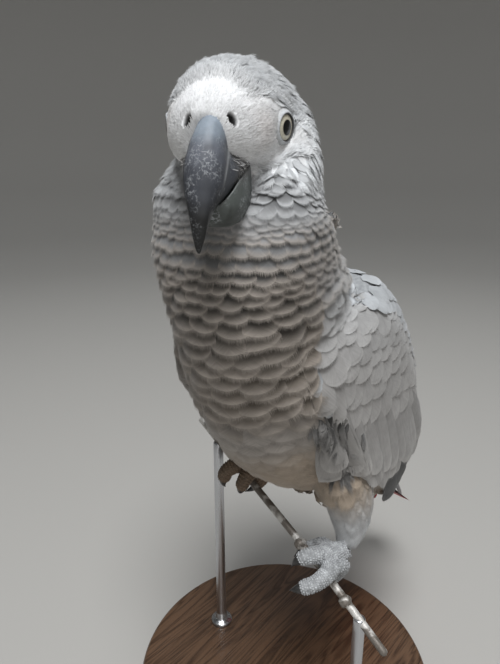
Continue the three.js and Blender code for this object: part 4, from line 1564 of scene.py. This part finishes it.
def make_eyes():
    eye_look, lid_look = eye_material(), lid_material()
    radius = np.concatenate([
        np.linspace(0.06, PUPIL - 0.12, 8),
        np.linspace(PUPIL - 0.05, PUPIL + 0.05, 3),
        np.linspace(PUPIL + 0.2, IRIS - 0.2, 10),
        np.linspace(IRIS - 0.08, 4.7, 6),
    ])
    profile = [(r, IRIS_LEVEL + IRIS_DOME * (1 - (r / IRIS) ** 2)) for r in radius]
    profile += [(5.0, 1.2), (5.15, 0.3), (4.9, -1.0), (4.0, -2.6)]
    away = np.array([r for r, _ in profile])
    tone = mix(IRIS_INNER, IRIS_CREAM, ease(PUPIL, PUPIL + 0.5, away)[:, None])
    tone = np.where((away < PUPIL)[:, None], PUPIL_BLACK, tone)
    tone = mix(tone, LIMBUS, ease(IRIS - 0.3, IRIS + 0.05, away)[:, None])
    lid_profile = [
        (4.12, 1.75), (4.08, 2.15), (4.12, 2.50), (4.26, 2.70), (4.46, 2.76), (4.70, 2.66), (5.0, 2.36),
        (5.3, 1.9), (5.6, 1.3), (5.9, 0.5),
    ]
    for side, word in ((1, "left"), (-1, "right")):
        middle, aim = eye_frame(side)
        points, quads, angle, _ = spin(profile, BALL_SIDES, middle, aim)
        ball = new_mesh(f"eyeball_{word}", points, quads)
        outwards = np.repeat(away, BALL_SIDES)
        paint(ball, "tint", "FLOAT_COLOR", np.repeat(tone, BALL_SIDES, axis=0))
        ray = np.stack([9 * np.cos(angle), 9 * np.sin(angle), outwards * 0.4], 1)
        paint(ball, "ray", "FLOAT_VECTOR", ray)
        add_piece(ball, eye_look, [f"eye_{word}"])

        phase = rng.uniform(0, 6.3, 3)

        def ripple(radius, angle):
            fine = 0.05 * np.sin(34 * angle + phase[0]) + 0.05 * np.sin(23 * angle + phase[1])
            fold = 0.10 * np.sin(5 * angle + phase[2])
            return (fine + fold) * float(ease(4.2, 4.7, radius)) * float(1 - ease(6.0, 7.2, radius))

        points, faces, angle, radius = spin(lid_profile, LID_SIDES, middle, aim, ripple)
        lid = new_mesh(f"lid_{word}", points, faces)
        tone_lid = mix(LID_EDGE, LID_SKIN, ease(4.2, 4.55, radius)[:, None])
        tone_lid = mix(tone_lid, WHITE_FACE * 0.5, ease(4.8, 5.6, radius)[:, None])
        paint(lid, "tint", "FLOAT_COLOR", tone_lid)
        add_piece(lid, lid_look)


# ---- bill ----------------------------------------------------------------------------------------

HORN_BASE = np.array([0.19, 0.225, 0.265])
HORN_MIDDLE = np.array([0.064, 0.069, 0.082])
HORN_TIP = grey(0.013, -0.02)
HORN_LOWER = np.array([0.075, 0.084, 0.080])
HORN_PALE = grey(0.42, -0.03)
GAPE_SKIN = grey(0.12, 0.02)
GAPE_HAIR_DARK = grey(0.035)
GAPE_HAIR_PALE = grey(0.38)
UPPER_RINGS, UPPER_SIDES = 70, 26
LOWER_RINGS, LOWER_SIDES = 44, 22

# The upper bill from its root to its tip: the culmen's y and z, the cutting edge's half width, y and
# z, and the half width at the ridge down each side and below it.
UPPER_BILL = np.array([
    (-13, 9.6, 9.2, -8, -8.2, 4.6, 9.6),
    (-19, 8.6, 9.4, -12, -8.7, 4.7, 9.8),
    (-24.5, 6.4, 8.8, -17, -9.6, 5.1, 9.2),
    (-28.8, 3.6, 7.9, -22, -11.2, 5.7, 8.2),
    (-32.2, 0.0, 6.7, -25.8, -13.4, 6.1, 6.9),
    (-34.8, -4.4, 5.2, -28.6, -15.4, 6.0, 5.9),
    (-36.8, -9.4, 3.6, -30.6, -17.0, 5.2, 4.6),
    (-38.1, -14.4, 2.4, -33.2, -19.4, 3.8, 3.1),
    (-38.8, -19.0, 1.8, -35.0, -22.4, 2.7, 2.3),
    (-38.9, -23.2, 1.3, -36.3, -25.6, 1.8, 1.6),
    (-38.2, -26.8, 0.8, -37.2, -28.2, 1.0, 0.8),
    (-37.5, -29.0, 0.3, -37.3, -29.4, 0.4, 0.3),
])
SECTION_SHARES = (0, 0.12, 0.25, 0.38, 0.54, 0.64, 0.80, 1.0)  # round one side of the section
SECTION_DOWN = (0, 0.02, 0.10, 0.24, 0.48, 0.60, 0.80, 1.0)  # and how far down each of those is
# The lower bill from its root to its front edge: the keel's y and z, and the cutting edge's half
# width, y and z, and the half width below it.
LOWER_BILL = np.array([
    (-2, -25.5, 9.2, -2, -8.2, 9.2),
    (-8, -27.0, 9.2, -8, -8.8, 9.4),
    (-14, -27.4, 9.2, -14, -9.6, 9.9),
    (-19, -26.8, 8.5, -18.5, -10.8, 9.5),
    (-23.4, -25.4, 7.5, -22.8, -12.0, 8.4),
    (-27.0, -23.6, 6.6, -26.2, -13.5, 7.1),
    (-29.4, -22.0, 5.2, -28.8, -15.2, 5.4),
])
LOWER_DOWN = (1.0, 0.985, 0.90, 0.74, 0.52, 0.26, 0.0)  # how far down its section each place is


def turned(points, yaw, lean):
    """Places in the bill's own frame, in the head's."""
    x, y, z = np.asarray(points, float).T
    x, z = x * math.cos(lean) + z * math.sin(lean), z * math.cos(lean) - x * math.sin(lean)
    return np.stack([x * math.cos(yaw) - y * math.sin(yaw), x * math.sin(yaw) + y * math.cos(yaw), z], 1)


def horn_material():
    shader = Shader("horn", 0.5, Specular_IOR_Level=0.32)
    tint = shader.attribute("tint")
    bloom = shader.attribute("bloom", "Fac")
    place = shader.place()
    cloud = shader.noise(170, 4.0, place)
    line = shader.noise(300, 3.0, place, Distortion=1.2)
    apart = shader.math("ABSOLUTE", shader.math("SUBTRACT", line, 0.5))
    scratch = shader.remap(apart, 0.003, 0.014, 1.0, 0.0)
    patchy = shader.remap(shader.noise(140, 3.0, place), 0.44, 0.62)
    dust = shader.remap(shader.noise(1300, 4.0, place), 0.52, 0.68)
    marks = shader.math("MAXIMUM", scratch, shader.math("MULTIPLY", dust, 0.8))
    powder = shader.math("MULTIPLY", marks, patchy)
    shade = shader.remap(cloud, 0.3, 0.7, 0.72, 1.3)
    base = shader.tinted(tint, shade)
    pale = (0.42, 0.44, 0.46, 1)
    shader.set("Base Color", shader.blend(shader.math("MULTIPLY", powder, bloom), base, pale))
    rough = shader.add("Math", {0: powder, 1: 0.30, 2: 0.50}, operation="MULTIPLY_ADD")
    shader.set("Roughness", rough)
    relief = shader.math("ADD", shader.math("MULTIPLY", cloud, 0.5), shader.math("MULTIPLY", powder, 0.5))
    shader.bump(relief, 0.25, 0.0003)
    return shader.material


def upper_rings(rings, sides):
    """Rings round the upper bill: down one side from the culmen, and back under the hollow palate."""
    values = catmull(UPPER_BILL, rings)
    share = np.linspace(0, 1, sides)
    made = []
    for culmen_y, culmen_z, edge_x, edge_y, edge_z, ridge, side in values:
        culmen, edge = np.array([culmen_y, culmen_z]), np.array([edge_y, edge_z])
        shape = [0, 0.36 * ridge, 0.66 * ridge, 0.88 * ridge, ridge, mix(ridge, side, 0.25), side, edge_x]
        x = np.interp(share, SECTION_SHARES, shape)
        x[1:-1] = (x[:-2] + 2 * x[1:-1] + x[2:]) / 4
        down = np.interp(share, SECTION_SHARES, SECTION_DOWN)
        yz = culmen + (edge - culmen) * down[:, None]
        outer = np.column_stack([x, yz])
        inner_share = share[::-1][1:]
        inner_x = max(edge_x - 0.7, edge_x * 0.5) * inner_share
        depth = 0.10 + 0.30 * (1 - inner_share**2)
        inner = np.column_stack([inner_x, edge + (culmen - edge) * depth[:, None]])
        right = np.vstack([outer, inner])
        left = right[1:-1][::-1] * (-1, 1, 1)
        made.append(np.vstack([right, left]))
    return np.array(made)


def close_rings(rings):
    """Points and triangles of a tube of rings with both ends closed."""
    count, sides = rings.shape[:2]
    quads = strip_faces(count, sides)
    points = rings.reshape(-1, 3)
    ends = np.array([rings[0].mean(0), rings[-1].mean(0)])
    step = np.arange(sides)
    after = (step + 1) % sides
    base = (count - 1) * sides
    first, last = len(points), len(points) + 1
    triangles = np.vstack([
        quads[:, [0, 2, 1]],
        quads[:, [0, 3, 2]],
        np.stack([step, after, np.full(sides, first)], 1),
        np.stack([base + after, base + step, np.full(sides, last)], 1),
    ])
    return np.vstack([points, ends]), triangles


def upper_shares():
    """How far round its section each point of the upper bill lies, and how far down the bill."""
    outer = np.linspace(0, 1, UPPER_SIDES)
    half = np.append(outer, 2 - outer[::-1][1:])
    ring = np.append(half, half[1:-1][::-1])
    around = np.append(np.tile(ring, UPPER_RINGS), [0, 0])
    down = np.append(np.repeat(np.linspace(0, 1, UPPER_RINGS), len(ring)), [0, 1])
    return around, down


def make_upper_bill(horn):
    rings = upper_rings(UPPER_RINGS, UPPER_SIDES)
    points, triangles = close_rings(rings)
    x, y, z = points.T
    tint = smooth_pick(z, [-30, -20, -9, -1, 4, 9], [
        HORN_TIP, HORN_TIP * 1.3, HORN_MIDDLE * 0.8, HORN_MIDDLE * 1.5, HORN_BASE, HORN_BASE * 1.15,
    ])
    flank = ease(-25, -20, y) * ease(4.8, 6.4, np.abs(x)) * (1 - ease(-4, 1, z))
    tint = mix(tint, GAPE_SKIN, 0.8 * flank[:, None])
    around, down = upper_shares()
    ridge = np.exp(-(((around - 0.55) / 0.035) ** 2)) * ease(0.02, 0.12, down) * (1 - ease(0.38, 0.52, down))
    tint = mix(tint, HORN_PALE, 0.8 * ridge[:, None])
    edge_x = np.interp(z, [-28, -17], [0.9, 3.8])
    sharp_edge = ease(-33, -28, z) * np.exp(-(((np.abs(x) - edge_x) / 0.5) ** 2))
    tint = mix(tint, HORN_PALE * 0.6, (0.6 * sharp_edge * (z < -17) * (y > -37.5))[:, None])
    outwards = unit(points - np.array([0, -20, -14]))
    points = points + outwards * (0.05 * np.sin(z * 1.3 + 0.35 * np.abs(x)))[:, None]
    piece = new_mesh("upper_bill", from_head(turned(points, BILL_YAW, BILL_LEAN)), triangles)
    paint(piece, "tint", "FLOAT_COLOR", tint)
    paint(piece, "bloom", "FLOAT", 0.25 + 0.4 * ease(-26, -18, z) * (1 - ease(-2, 6, z)))
    add_piece(piece, horn, ["bill_upper"])
    lay_gape_hairs(from_head(turned(points, BILL_YAW, BILL_LEAN)), triangles, flank)


def lay_gape_hairs(points, triangles, share):
    """Short dark and pale hairs on the bare skin of the upper bill's sides, above the gape."""
    corners = points[triangles]
    across = np.cross(corners[:, 1] - corners[:, 0], corners[:, 2] - corners[:, 0])
    area = np.linalg.norm(across, axis=1) / 2
    outer = np.sum(across * (corners.mean(1) - from_head([0, -20, -8])), 1) > 0
    counts = rng.poisson(area * 3.2 * share[triangles].mean(1) * outer)
    chosen = np.repeat(np.arange(len(counts)), counts)
    weight = rng.dirichlet((1, 1, 1), len(chosen))
    roots = np.sum(corners[chosen] * weight[..., None], 1)
    normal = unit(across[chosen])
    count = len(roots)
    way = unit(np.array([0, 0.75, -0.65]) @ HEAD + rng.normal(0, 0.25, (count, 3)))
    way = unit(way - normal * np.sum(way * normal, 1, keepdims=True))
    steps = np.linspace(0, 1, 4)[None, :, None] * rng.uniform(1.4, 3.0, (count, 1, 1))
    spine = roots[:, None] + way[:, None] * steps
    sides = np.broadcast_to(np.cross(way, normal)[:, None], spine.shape)
    tint = np.where(rng.random((count, 1)) < 0.55, GAPE_HAIR_DARK, GAPE_HAIR_PALE)
    tint = tint * rng.uniform(0.7, 1.3, (count, 1))
    coat = Coat("gape_hairs", FACE_HAIR, "plumage")
    dress(
        coat, HAIR, spine, sides, np.broadcast_to(normal[:, None], spine.shape),
        rng.uniform(0.14, 0.26, count), tint, tint, (0.0, 0.25, rng.uniform(0.3, 0.6, count)),
        unwrap(roots), cup=0.0, dark_root=1.0,
    )
    coat.finish()


def lower_rings(rings, sides):
    """Rings round the lower bill: up one side from the keel, and back inside it."""
    values = catmull(LOWER_BILL, rings)
    share = np.linspace(0, 1, sides)
    made = []
    for keel_y, keel_z, edge_x, edge_y, edge_z, side in values:
        keel, edge = np.array([keel_y, keel_z]), np.array([edge_y, edge_z])
        shape = [0, 0.38 * side, 0.70 * side, 0.90 * side, side, mix(side, edge_x, 0.4), edge_x]
        stops = np.linspace(0, 1, len(shape))
        x = np.interp(share, stops, shape)
        x[1:-1] = (x[:-2] + 2 * x[1:-1] + x[2:]) / 4
        up = 1 - np.interp(share, stops, LOWER_DOWN)
        yz = keel + (edge - keel) * up[:, None]
        outer = np.column_stack([x, yz])
        inner_share = share[::-1][1:]
        inner_x = (edge_x - 1.0) * inner_share
        depth = 0.12 + 0.35 * (1 - inner_share**2)
        inner = np.column_stack([inner_x, edge + (keel - edge) * depth[:, None]])
        right = np.vstack([outer, inner])
        left = right[1:-1][::-1] * (-1, 1, 1)
        made.append(np.vstack([right, left]))
    return np.array(made)


def make_lower_bill(horn):
    points, triangles = close_rings(lower_rings(LOWER_RINGS, LOWER_SIDES))
    tones = [HORN_LOWER * 0.8, HORN_LOWER, HORN_LOWER * 1.3, GAPE_SKIN]
    tint = smooth_pick(points[:, 2], [-29, -22, -14, -9], tones)
    piece = new_mesh("lower_bill", from_head(turned(points, BILL_YAW, 0)), triangles)
    paint(piece, "tint", "FLOAT_COLOR", tint)
    paint(piece, "bloom", "FLOAT", np.full(len(points), 0.9))
    add_piece(piece, horn, ["bill_lower"])


# ---- feet ----------------------------------------------------------------------------------------

LEFT_FOOT = np.array([29, -4.4, -11])
RIGHT_FOOT = np.array([-22.5, 3.4, 13.4])
ALONG_WIRE = unit(LEFT_FOOT - RIGHT_FOOT)
FORWARD = unit([ALONG_WIRE[1], -ALONG_WIRE[0], 0])
OFF_WIRE = -np.cross(ALONG_WIRE, FORWARD)

# Each foot's parts from the wire under it: outwards along the wire, forwards across it and up off it.
# A toe has its half width at the root and at the tip, and its claw's length.
LEFT_SOLE = ((1.0, -10.5, 10.5), (0.0, -8.5, 8.6), (-1.2, -5.5, 7.4), (-2.2, -1.5, 6.3), (-2.6, 3, 5.8))
RIGHT_SOLE = ((2.6, -14, 9.5), (2.4, -11, 8), (2, -7, 7.2), (1.2, -2, 6.2), (0.9, 3, 5.8))
SOLE_WIDTHS = (3.6, 3.9, 4.7, 5.4, 4.6)
OUTER_BACK_TOE = (3.6, 2.8, 7, ((3.2, -4, 6), (4.2, -7.6, 3.6), (4.6, -7.8, -1.6), (4.2, -4.6, -5.6)))
LEFT_TOES = {
    "toe_2": (4.1, 3.2, 4, ((-3.5, -1, 6.2), (-5, 3.5, 7.2), (-6.8, 7.6, 6.4), (-7.8, 10.2, 4))),
    "toe_3": (4.2, 3.1, 4, ((1.5, -2, 6.4), (4, 3.5, 6.4), (4, 10.5, 4), (1.2, 16.5, 0.6))),
    "toe_1": (3.5, 2.6, 6, ((-3, -4, 6), (-7.5, -7.4, 3.5), (-11, -7.2, -2), (-13, -3.6, -5.2))),
    "toe_4": OUTER_BACK_TOE,
}
RIGHT_TOES = {
    "toe_2": (4.1, 3.1, 6, ((-2, 0, 6), (-3.8, 4, 6.6), (-5, 6.8, 4.2), (-5.4, 6.8, -0.6))),
    "toe_3": (4.2, 3.2, 6.5, ((2.6, 1, 6), (3.6, 6.5, 6.2), (4.4, 10, 3), (4.3, 9.8, -3.6))),
    "toe_1": (3.5, 2.8, 6, ((-3, -4, 6), (-5, -7.6, 3.5), (-5.5, -7.6, -2), (-5.5, -4.6, -5.6))),
    "toe_4": OUTER_BACK_TOE,
}
CLAW_WIDTHS = (0.80, 0.74, 0.64, 0.50, 0.34, 0.16, 0.04)
CLAW_CURL = 0.4
SCALE_PITCH = 1.1
LEFT_FOOT_TONE = grey(0.42, -0.03)
# The right foot is a darker, browner copy of the left foot's colour: painted shade on the far foot.
RIGHT_FOOT_SHADED_TONE = np.array([0.18, 0.13, 0.09])
CLAW_TONE = grey(0.022, 0.02)


def on_wire(foot, side, points):
    points = np.asarray(points, float)
    return foot + side * points[:, :1] * ALONG_WIRE + points[:, 1:2] * FORWARD + points[:, 2:] * OFF_WIRE


def tube(line, widths, rings, sides, flat=1.0):
    """A tube along a curve with rounded ends. Returns rings of points, and each ring's normals."""
    curve = catmull(line, rings)
    radius = catmull(np.asarray(widths, float)[:, None], rings)[:, 0]
    tangent = unit(np.gradient(curve, axis=0))
    side = unit(np.cross(tangent, OFF_WIRE + 0.3 * ALONG_WIRE))
    up = np.cross(side, tangent)
    length = np.append(0, np.cumsum(np.linalg.norm(np.diff(curve, axis=0), axis=1)))
    to_end = (length[-1] - length) / radius[-1]
    radius = radius * np.sqrt(np.clip(1 - (1 - np.clip(to_end, 0, 1)) ** 2, 0.02, 1))
    angle = np.arange(sides) / sides * 2 * np.pi
    way = np.cos(angle)[None, :, None] * side[:, None] + np.sin(angle)[None, :, None] * up[:, None] * flat
    return curve[:, None] + way * radius[:, None, None], unit(way), length, radius


def foot_material():
    shader = Shader("foot_skin", 0.62, Specular_IOR_Level=0.35)
    tint = shader.attribute("tint")
    dirt = shader.noise(420, 4.0, shader.place())
    shade = shader.remap(dirt, 0.3, 0.7, 0.72, 1.22)
    shader.set("Base Color", shader.tinted(tint, shade))
    shader.bump(shader.noise(2600, 2.0, shader.place()), 0.3, 0.0001)
    return shader.material


def claw_material():
    shader = Shader("claw_horn", 0.35, Specular_IOR_Level=0.5, Coat_Weight=0.15, Coat_Roughness=0.3)
    tint = shader.attribute("tint")
    grain = shader.noise(500, 3.0, shader.place())
    shade = shader.remap(grain, 0.3, 0.7, 0.6, 1.6)
    shader.set("Base Color", shader.tinted(tint, shade))
    shader.bump(grain, 0.2, 0.0002)
    return shader.material


PEBBLE_RINGS, PEBBLE_SIDES = 60, 48  # of the tube that the scales lie on


def hexagon(radius, height):
    return [(radius * math.cos(a), radius * math.sin(a), height) for a in np.arange(6) / 6 * 2 * np.pi]


def pebbles(line, widths, tone, flat, made):
    """Small domed scales in rings round a toe."""
    rings, normals, length, radius = tube(line, widths, PEBBLE_RINGS, PEBBLE_SIDES, flat)
    row_count = max(int(length[-1] / (SCALE_PITCH * 0.86)), 2)
    dome = np.array([(0, 0, 0.34)] + hexagon(0.30, 0.27) + hexagon(0.53, -0.12))
    step = np.arange(6)
    after = (step + 1) % 6
    faces = np.vstack([
        np.stack([np.zeros(6, int), 1 + step, 1 + after], 1),
        np.stack([1 + step, 7 + step, 7 + after], 1),
        np.stack([1 + step, 7 + after, 1 + after], 1),
    ])
    for row in range(row_count + 1):
        at = np.interp(length[-1] * row / row_count, length, np.arange(len(length)))
        ring = min(int(at), len(length) - 1)
        count = max(int(2 * math.pi * radius[ring] / SCALE_PITCH), 3)
        for number in range(count):
            turn = (number + 0.5 * (row % 2) + rng.normal(0, 0.15)) / count * PEBBLE_SIDES
            spot = int(turn) % PEBBLE_SIDES
            after_spot = (spot + 1) % PEBBLE_SIDES
            share = turn - int(turn)
            centre = mix(rings[ring, spot], rings[ring, after_spot], share)
            normal = unit(mix(normals[ring, spot], normals[ring, after_spot], share))
            first = unit(np.cross(normal, ALONG_WIRE + 0.1))
            second = np.cross(normal, first)
            size = SCALE_PITCH * rng.uniform(0.75, 1.12)
            frame_of_scale = np.array([first, second, normal]) * size
            shade = tone * rng.uniform(0.88, 1.08)
            start = made["count"]
            made["points"].append(centre + dome @ frame_of_scale)
            made["faces"].append(faces + start)
            made["tint"].append(np.vstack([np.tile(shade, (7, 1)), np.tile(shade * 0.82, (6, 1))]))
            made["count"] += len(dome)


def make_foot(word, foot, side, sole, toes, tone):
    """A foot and its toes as one skin, with scales over it and a claw on each toe."""
    skin_look, claw_look = foot_material(), claw_material()
    scales = {"count": 0, "points": [], "faces": [], "tint": []}
    parts = [(on_wire(foot, side, sole), SOLE_WIDTHS, 0.8)]
    for root, tip, _, line in toes.values():
        parts.append((on_wire(foot, side, line), (root, mix(root, tip, 0.5), tip * 1.02, tip), 1.0))
    all_points, all_faces, count = [], [], 0
    for line, widths, flat in parts:
        rings = tube(line, widths, 40, 28, flat)[0]
        points, triangles = close_rings(rings)
        all_points.append(points)
        all_faces.append(triangles + count)
        count += len(points)
        pebbles(line, widths, tone, flat, scales)
    name = f"foot_skin_{word}"
    piece = new_mesh(name, np.vstack(all_points), np.vstack(all_faces))
    paint(piece, "tint", "FLOAT_COLOR", np.tile(tone * 0.7, (count, 1)))
    hidden = [f"foot_{word}"] + [f"{toe}_{word}" for toe in toes]
    add_piece(piece, skin_look, hidden)
    piece = new_mesh(f"foot_scales_{word}", np.vstack(scales["points"]), np.vstack(scales["faces"]))
    paint(piece, "tint", "FLOAT_COLOR", np.clip(np.vstack(scales["tint"]), 0, 1))
    add_piece(piece, skin_look)
    print(f"foot_scales_{word}: {len(scales['faces'])} scales")
    make_claws(word, foot, side, toes, claw_look)


def make_claws(word, foot, side, toes, claw_look):
    """A curved claw at the end of each toe."""
    for toe, (_, tip, claw, line) in toes.items():
        before, end = on_wire(foot, side, line[-2:])
        ahead = unit(end - before)
        inwards = foot - end
        curl = unit(inwards - ahead * (inwards @ ahead))
        share = np.linspace(0, 1, len(CLAW_WIDTHS))[:, None]
        start = end - ahead * 0.8
        curve = start + ahead * (claw + 0.8) * share + curl * CLAW_CURL * claw * share**2
        rings = tube(curve, np.array(CLAW_WIDTHS) * tip * 0.9, 22, 16)[0]
        points, triangles = close_rings(rings)
        number = toe[-1]
        piece = new_mesh(f"talon_{number}_{word}", points, triangles)
        paint(piece, "tint", "FLOAT_COLOR", np.tile(CLAW_TONE, (len(points), 1)))
        add_piece(piece, claw_look, [f"claw_{number}_{word}"])


# ---- perch and stand -----------------------------------------------------------------------------

WIRE_RADIUS = 1.7
WIRE_REACH = 40
WIRE_SAG = 3
BEAD_RADIUS = 3.0
BEADS = (-14.5, 16.0)  # welds on the wire, from the left foot towards the left
ROD_RADIUS = 2.6
ROD_PAST_FOOT = 24


def wire_material():
    shader = Shader("coated_wire", 0.45, Metallic=0.25, Specular_IOR_Level=0.5)
    place = shader.place()
    # The dark brown-grey is painted shade, as the wire looks in shadow; noise patches mix it with the pale
    # coating.
    pale_patches = shader.remap(shader.noise(140, 5.0, place, Distortion=0.6), 0.50, 0.60)
    fine = shader.noise(900, 3.0, place)
    dark = shader.blend(fine, (0.10, 0.085, 0.07, 1), (0.20, 0.18, 0.16, 1))
    pale = shader.blend(fine, (0.42, 0.40, 0.37, 1), (0.70, 0.69, 0.67, 1))
    shader.set("Base Color", shader.blend(pale_patches, dark, pale))
    shader.set("Roughness", shader.remap(fine, 0.3, 0.7, 0.35, 0.65))
    shader.bump(shader.math("ADD", shader.math("MULTIPLY", pale_patches, 0.4), fine), 0.3, 0.0003)
    return shader.material


def rod_material():
    shader = Shader("satin_steel", 0.28, Metallic=1.0)
    lines = shader.noise(700, 3.0, shader.place((1, 1, 0.03)))
    shader.set("Base Color", shader.blend(lines, (0.46, 0.47, 0.49, 1), (0.66, 0.67, 0.69, 1)))
    shader.set("Roughness", shader.remap(lines, 0.3, 0.7, 0.2, 0.4))
    shader.bump(lines, 0.1, 0.0001)
    return shader.material


def wood_material():
    shader = Shader("stained_wood", 0.38, Coat_Weight=0.35, Coat_Roughness=0.18)
    place = shader.place((1, 0.09, 1))
    wander = shader.noise(55, 3.0, place, Distortion=1.4)
    pores = shader.noise(1400, 2.0, shader.place((1, 0.03, 1)))
    rings = shader.math("ABSOLUTE", shader.math("SINE", shader.math("MULTIPLY", wander, 34.0)))
    grain = shader.blend(rings, (0.050, 0.026, 0.014, 1), (0.115, 0.062, 0.033, 1))
    dark = shader.remap(pores, 0.58, 0.70, 1.0, 0.45)
    shader.set("Base Color", shader.tinted(grain, dark))
    shader.set("Roughness", shader.remap(rings, 0, 1, 0.34, 0.46))
    shader.bump(shader.math("ADD", rings, pores), 0.12, 0.0002)
    return shader.material


def make_wire():
    high = RIGHT_FOOT - ALONG_WIRE * WIRE_REACH
    low = LEFT_FOOT + ALONG_WIRE * WIRE_REACH - np.array([0, 0, WIRE_SAG])
    curve = catmull([high, RIGHT_FOOT, LEFT_FOOT, low], 160)
    rings = tube(curve, np.full(4, WIRE_RADIUS), 160, 24)[0]
    points, triangles = close_rings(rings)
    all_points, all_faces, count = [points], [triangles], len(points)
    for bead in BEADS:
        at = LEFT_FOOT + ALONG_WIRE * bead
        near = curve[np.argmin(np.linalg.norm(curve - at, axis=1))]
        angle = np.linspace(0.08, math.pi - 0.08, 12)
        profile = [(BEAD_RADIUS * math.sin(a) * 0.9, -BEAD_RADIUS * math.cos(a)) for a in angle]
        middle = near + OFF_WIRE * 0.3 + FORWARD * 0.6
        lump = spin(profile, 20, middle, FORWARD)[0]
        lump = lump + 0.16 * np.sin(lump @ np.array([1.9, 2.3, 1.7]))[:, None] * unit(lump - middle)
        points, triangles = close_rings(lump.reshape(len(profile), 20, 3))
        all_points.append(points)
        all_faces.append(triangles + count)
        count += len(points)
    piece = new_mesh("perch_wire", np.vstack(all_points), np.vstack(all_faces))
    add_piece(piece, wire_material(), ["stand_perch_wire"])


def lathe(profile, sides, middle):
    angle = np.arange(sides) / sides * 2 * np.pi
    rings = np.array([
        [(middle[0] + r * math.cos(a), middle[1] + r * math.sin(a), middle[2] + z) for a in angle]
        for r, z in profile
    ])
    return close_rings(rings)


def make_stand():
    floor = -PERCH_HEIGHT
    top = BASE_THICKNESS
    edge = 2.5
    profile = [
        (BASE_RADIUS - 2, 0), (BASE_RADIUS - 0.6, 0.25), (BASE_RADIUS, 1.0), (BASE_RADIUS, top - edge - 3),
        (BASE_RADIUS - 0.7, top - edge - 2.6), (BASE_RADIUS - 0.7, top - edge - 1.8),
    ]
    for angle in np.linspace(0, math.pi / 2, 8):
        out = BASE_RADIUS - edge + (edge - 0.2) * math.cos(angle)
        profile.append((out, top - edge + edge * math.sin(angle)))
    profile += [(r, top) for r in (70, 60, 45, 30, 15, 2)]
    points, triangles = lathe(profile, 128, (0, BASE_BEHIND, floor))
    base = new_mesh("turned_base", points, triangles)
    add_piece(base, wood_material(), ["stand_base"])
    steel = rod_material()
    for word, foot, way in (("left", LEFT_FOOT, 1), ("right", RIGHT_FOOT, -1)):
        at = foot + ALONG_WIRE * way * ROD_PAST_FOOT
        height = at[2] - WIRE_RADIUS * 0.5 - (floor + top)
        profile = [
            (ROD_RADIUS + 3.4, 0.0), (ROD_RADIUS + 3.4, 1.4), (ROD_RADIUS + 3.0, 1.9),
            (ROD_RADIUS + 1.2, 2.3), (ROD_RADIUS + 0.5, 3.2), (ROD_RADIUS + 0.35, 5.6), (ROD_RADIUS, 6.0),
        ]
        profile += [(ROD_RADIUS, z) for z in np.linspace(7, height - 0.6, 12)]
        profile += [(ROD_RADIUS - 0.2, height - 0.2), (ROD_RADIUS - 0.6, height)]
        points, triangles = lathe(profile, 40, (at[0], at[1], floor + top))
        rod = new_mesh(f"steel_rod_{word}", points, triangles)
        add_piece(rod, steel, [f"stand_rod_{word}"])


# ---- studio --------------------------------------------------------------------------------------

CAMERA_FROM_EYES = (130.6, -144.0, -8.7)  # from midway between the eyeballs
CAMERA_AZIMUTH = math.radians(40)
CAMERA_DOWN = math.radians(17.5)
FOCAL = 70 / 83  # the lens's length against the picture's height


def area_light(name, at, aim, size, power, colour=(1, 1, 1)):
    lamp = bpy.data.lights.new(name, "AREA")
    lamp.shape, lamp.size, lamp.energy, lamp.color = "DISK", size, power, colour
    made = bpy.data.objects.new(name, lamp)
    made.location = at
    made.rotation_euler = (Vector(aim) - Vector(at)).to_track_quat("-Z", "Y").to_euler()
    bpy.context.scene.collection.objects.link(made)


def studio():
    floor = bpy.data.meshes.new("floor")
    profile = [(0, 0), (1.2, 0), (1.6, 0.03), (2.0, 0.15), (2.3, 0.4), (2.45, 0.8), (2.5, 1.4), (2.5, 3.0)]
    sides = 64
    angle = np.arange(sides) / sides * 2 * np.pi
    points = [(r * math.cos(a), r * math.sin(a), z) for r, z in profile for a in angle]
    floor.from_pydata(points, [], strip_faces(len(profile), sides).tolist())
    floor.polygons.foreach_set("use_smooth", [True] * len(floor.polygons))
    made = bpy.data.objects.new("floor", floor)
    bpy.context.scene.collection.objects.link(made)
    shader = Shader("floor", 0.85)
    shader.set("Base Color", (0.42, 0.41, 0.39, 1))
    floor.materials.append(shader.material)

    world = bpy.data.worlds.new("studio")
    world.use_nodes = True
    world.node_tree.nodes["Background"].inputs["Color"].default_value = (0.9, 0.95, 1.0, 1)
    world.node_tree.nodes["Background"].inputs["Strength"].default_value = 0.14
    bpy.context.scene.world = world
    area_light("key", (0.38, -0.46, 1.42), (0, 0, 0.22), 0.6, 21, (0.98, 0.99, 1.0))
    area_light("top", (-0.1, 0.35, 1.4), (0, 0, 0.2), 0.8, 4, (0.95, 0.98, 1.0))
    area_light("fill", (0.9, -0.9, 0.5), (0, 0, 0.2), 0.8, 3.1, (1.0, 0.98, 0.96))


def add_camera():
    lens = bpy.data.cameras.new("camera")
    lens.sensor_width = 36
    lens.lens = 36 * FOCAL
    lens.clip_start, lens.clip_end = 0.01, 20
    made = bpy.data.objects.new("camera", lens)
    made.location = (((EYE_LEFT + EYE_RIGHT) / 2 + CAMERA_FROM_EYES) * MM + ORIGIN).tolist()
    made.rotation_euler = (math.pi / 2 - CAMERA_DOWN, 0, CAMERA_AZIMUTH)
    bpy.context.scene.collection.objects.link(made)
    bpy.context.scene.camera = made


make_skin()
lay_body()
lay_thighs()
lay_face()
for side, word in ((1, "left"), (-1, "right")):
    lay_wing(side, word)
    lay_primaries(side, word)
lay_tail()
make_eyes()
horn = horn_material()
make_upper_bill(horn)
make_lower_bill(horn)
make_foot("left", LEFT_FOOT, 1, LEFT_SOLE, LEFT_TOES, LEFT_FOOT_TONE)
make_foot("right", RIGHT_FOOT, -1, RIGHT_SOLE, RIGHT_TOES, RIGHT_FOOT_SHADED_TONE)
make_wire()
make_stand()
studio()
add_camera()
bpy.context.scene.view_settings.view_transform = "Standard"
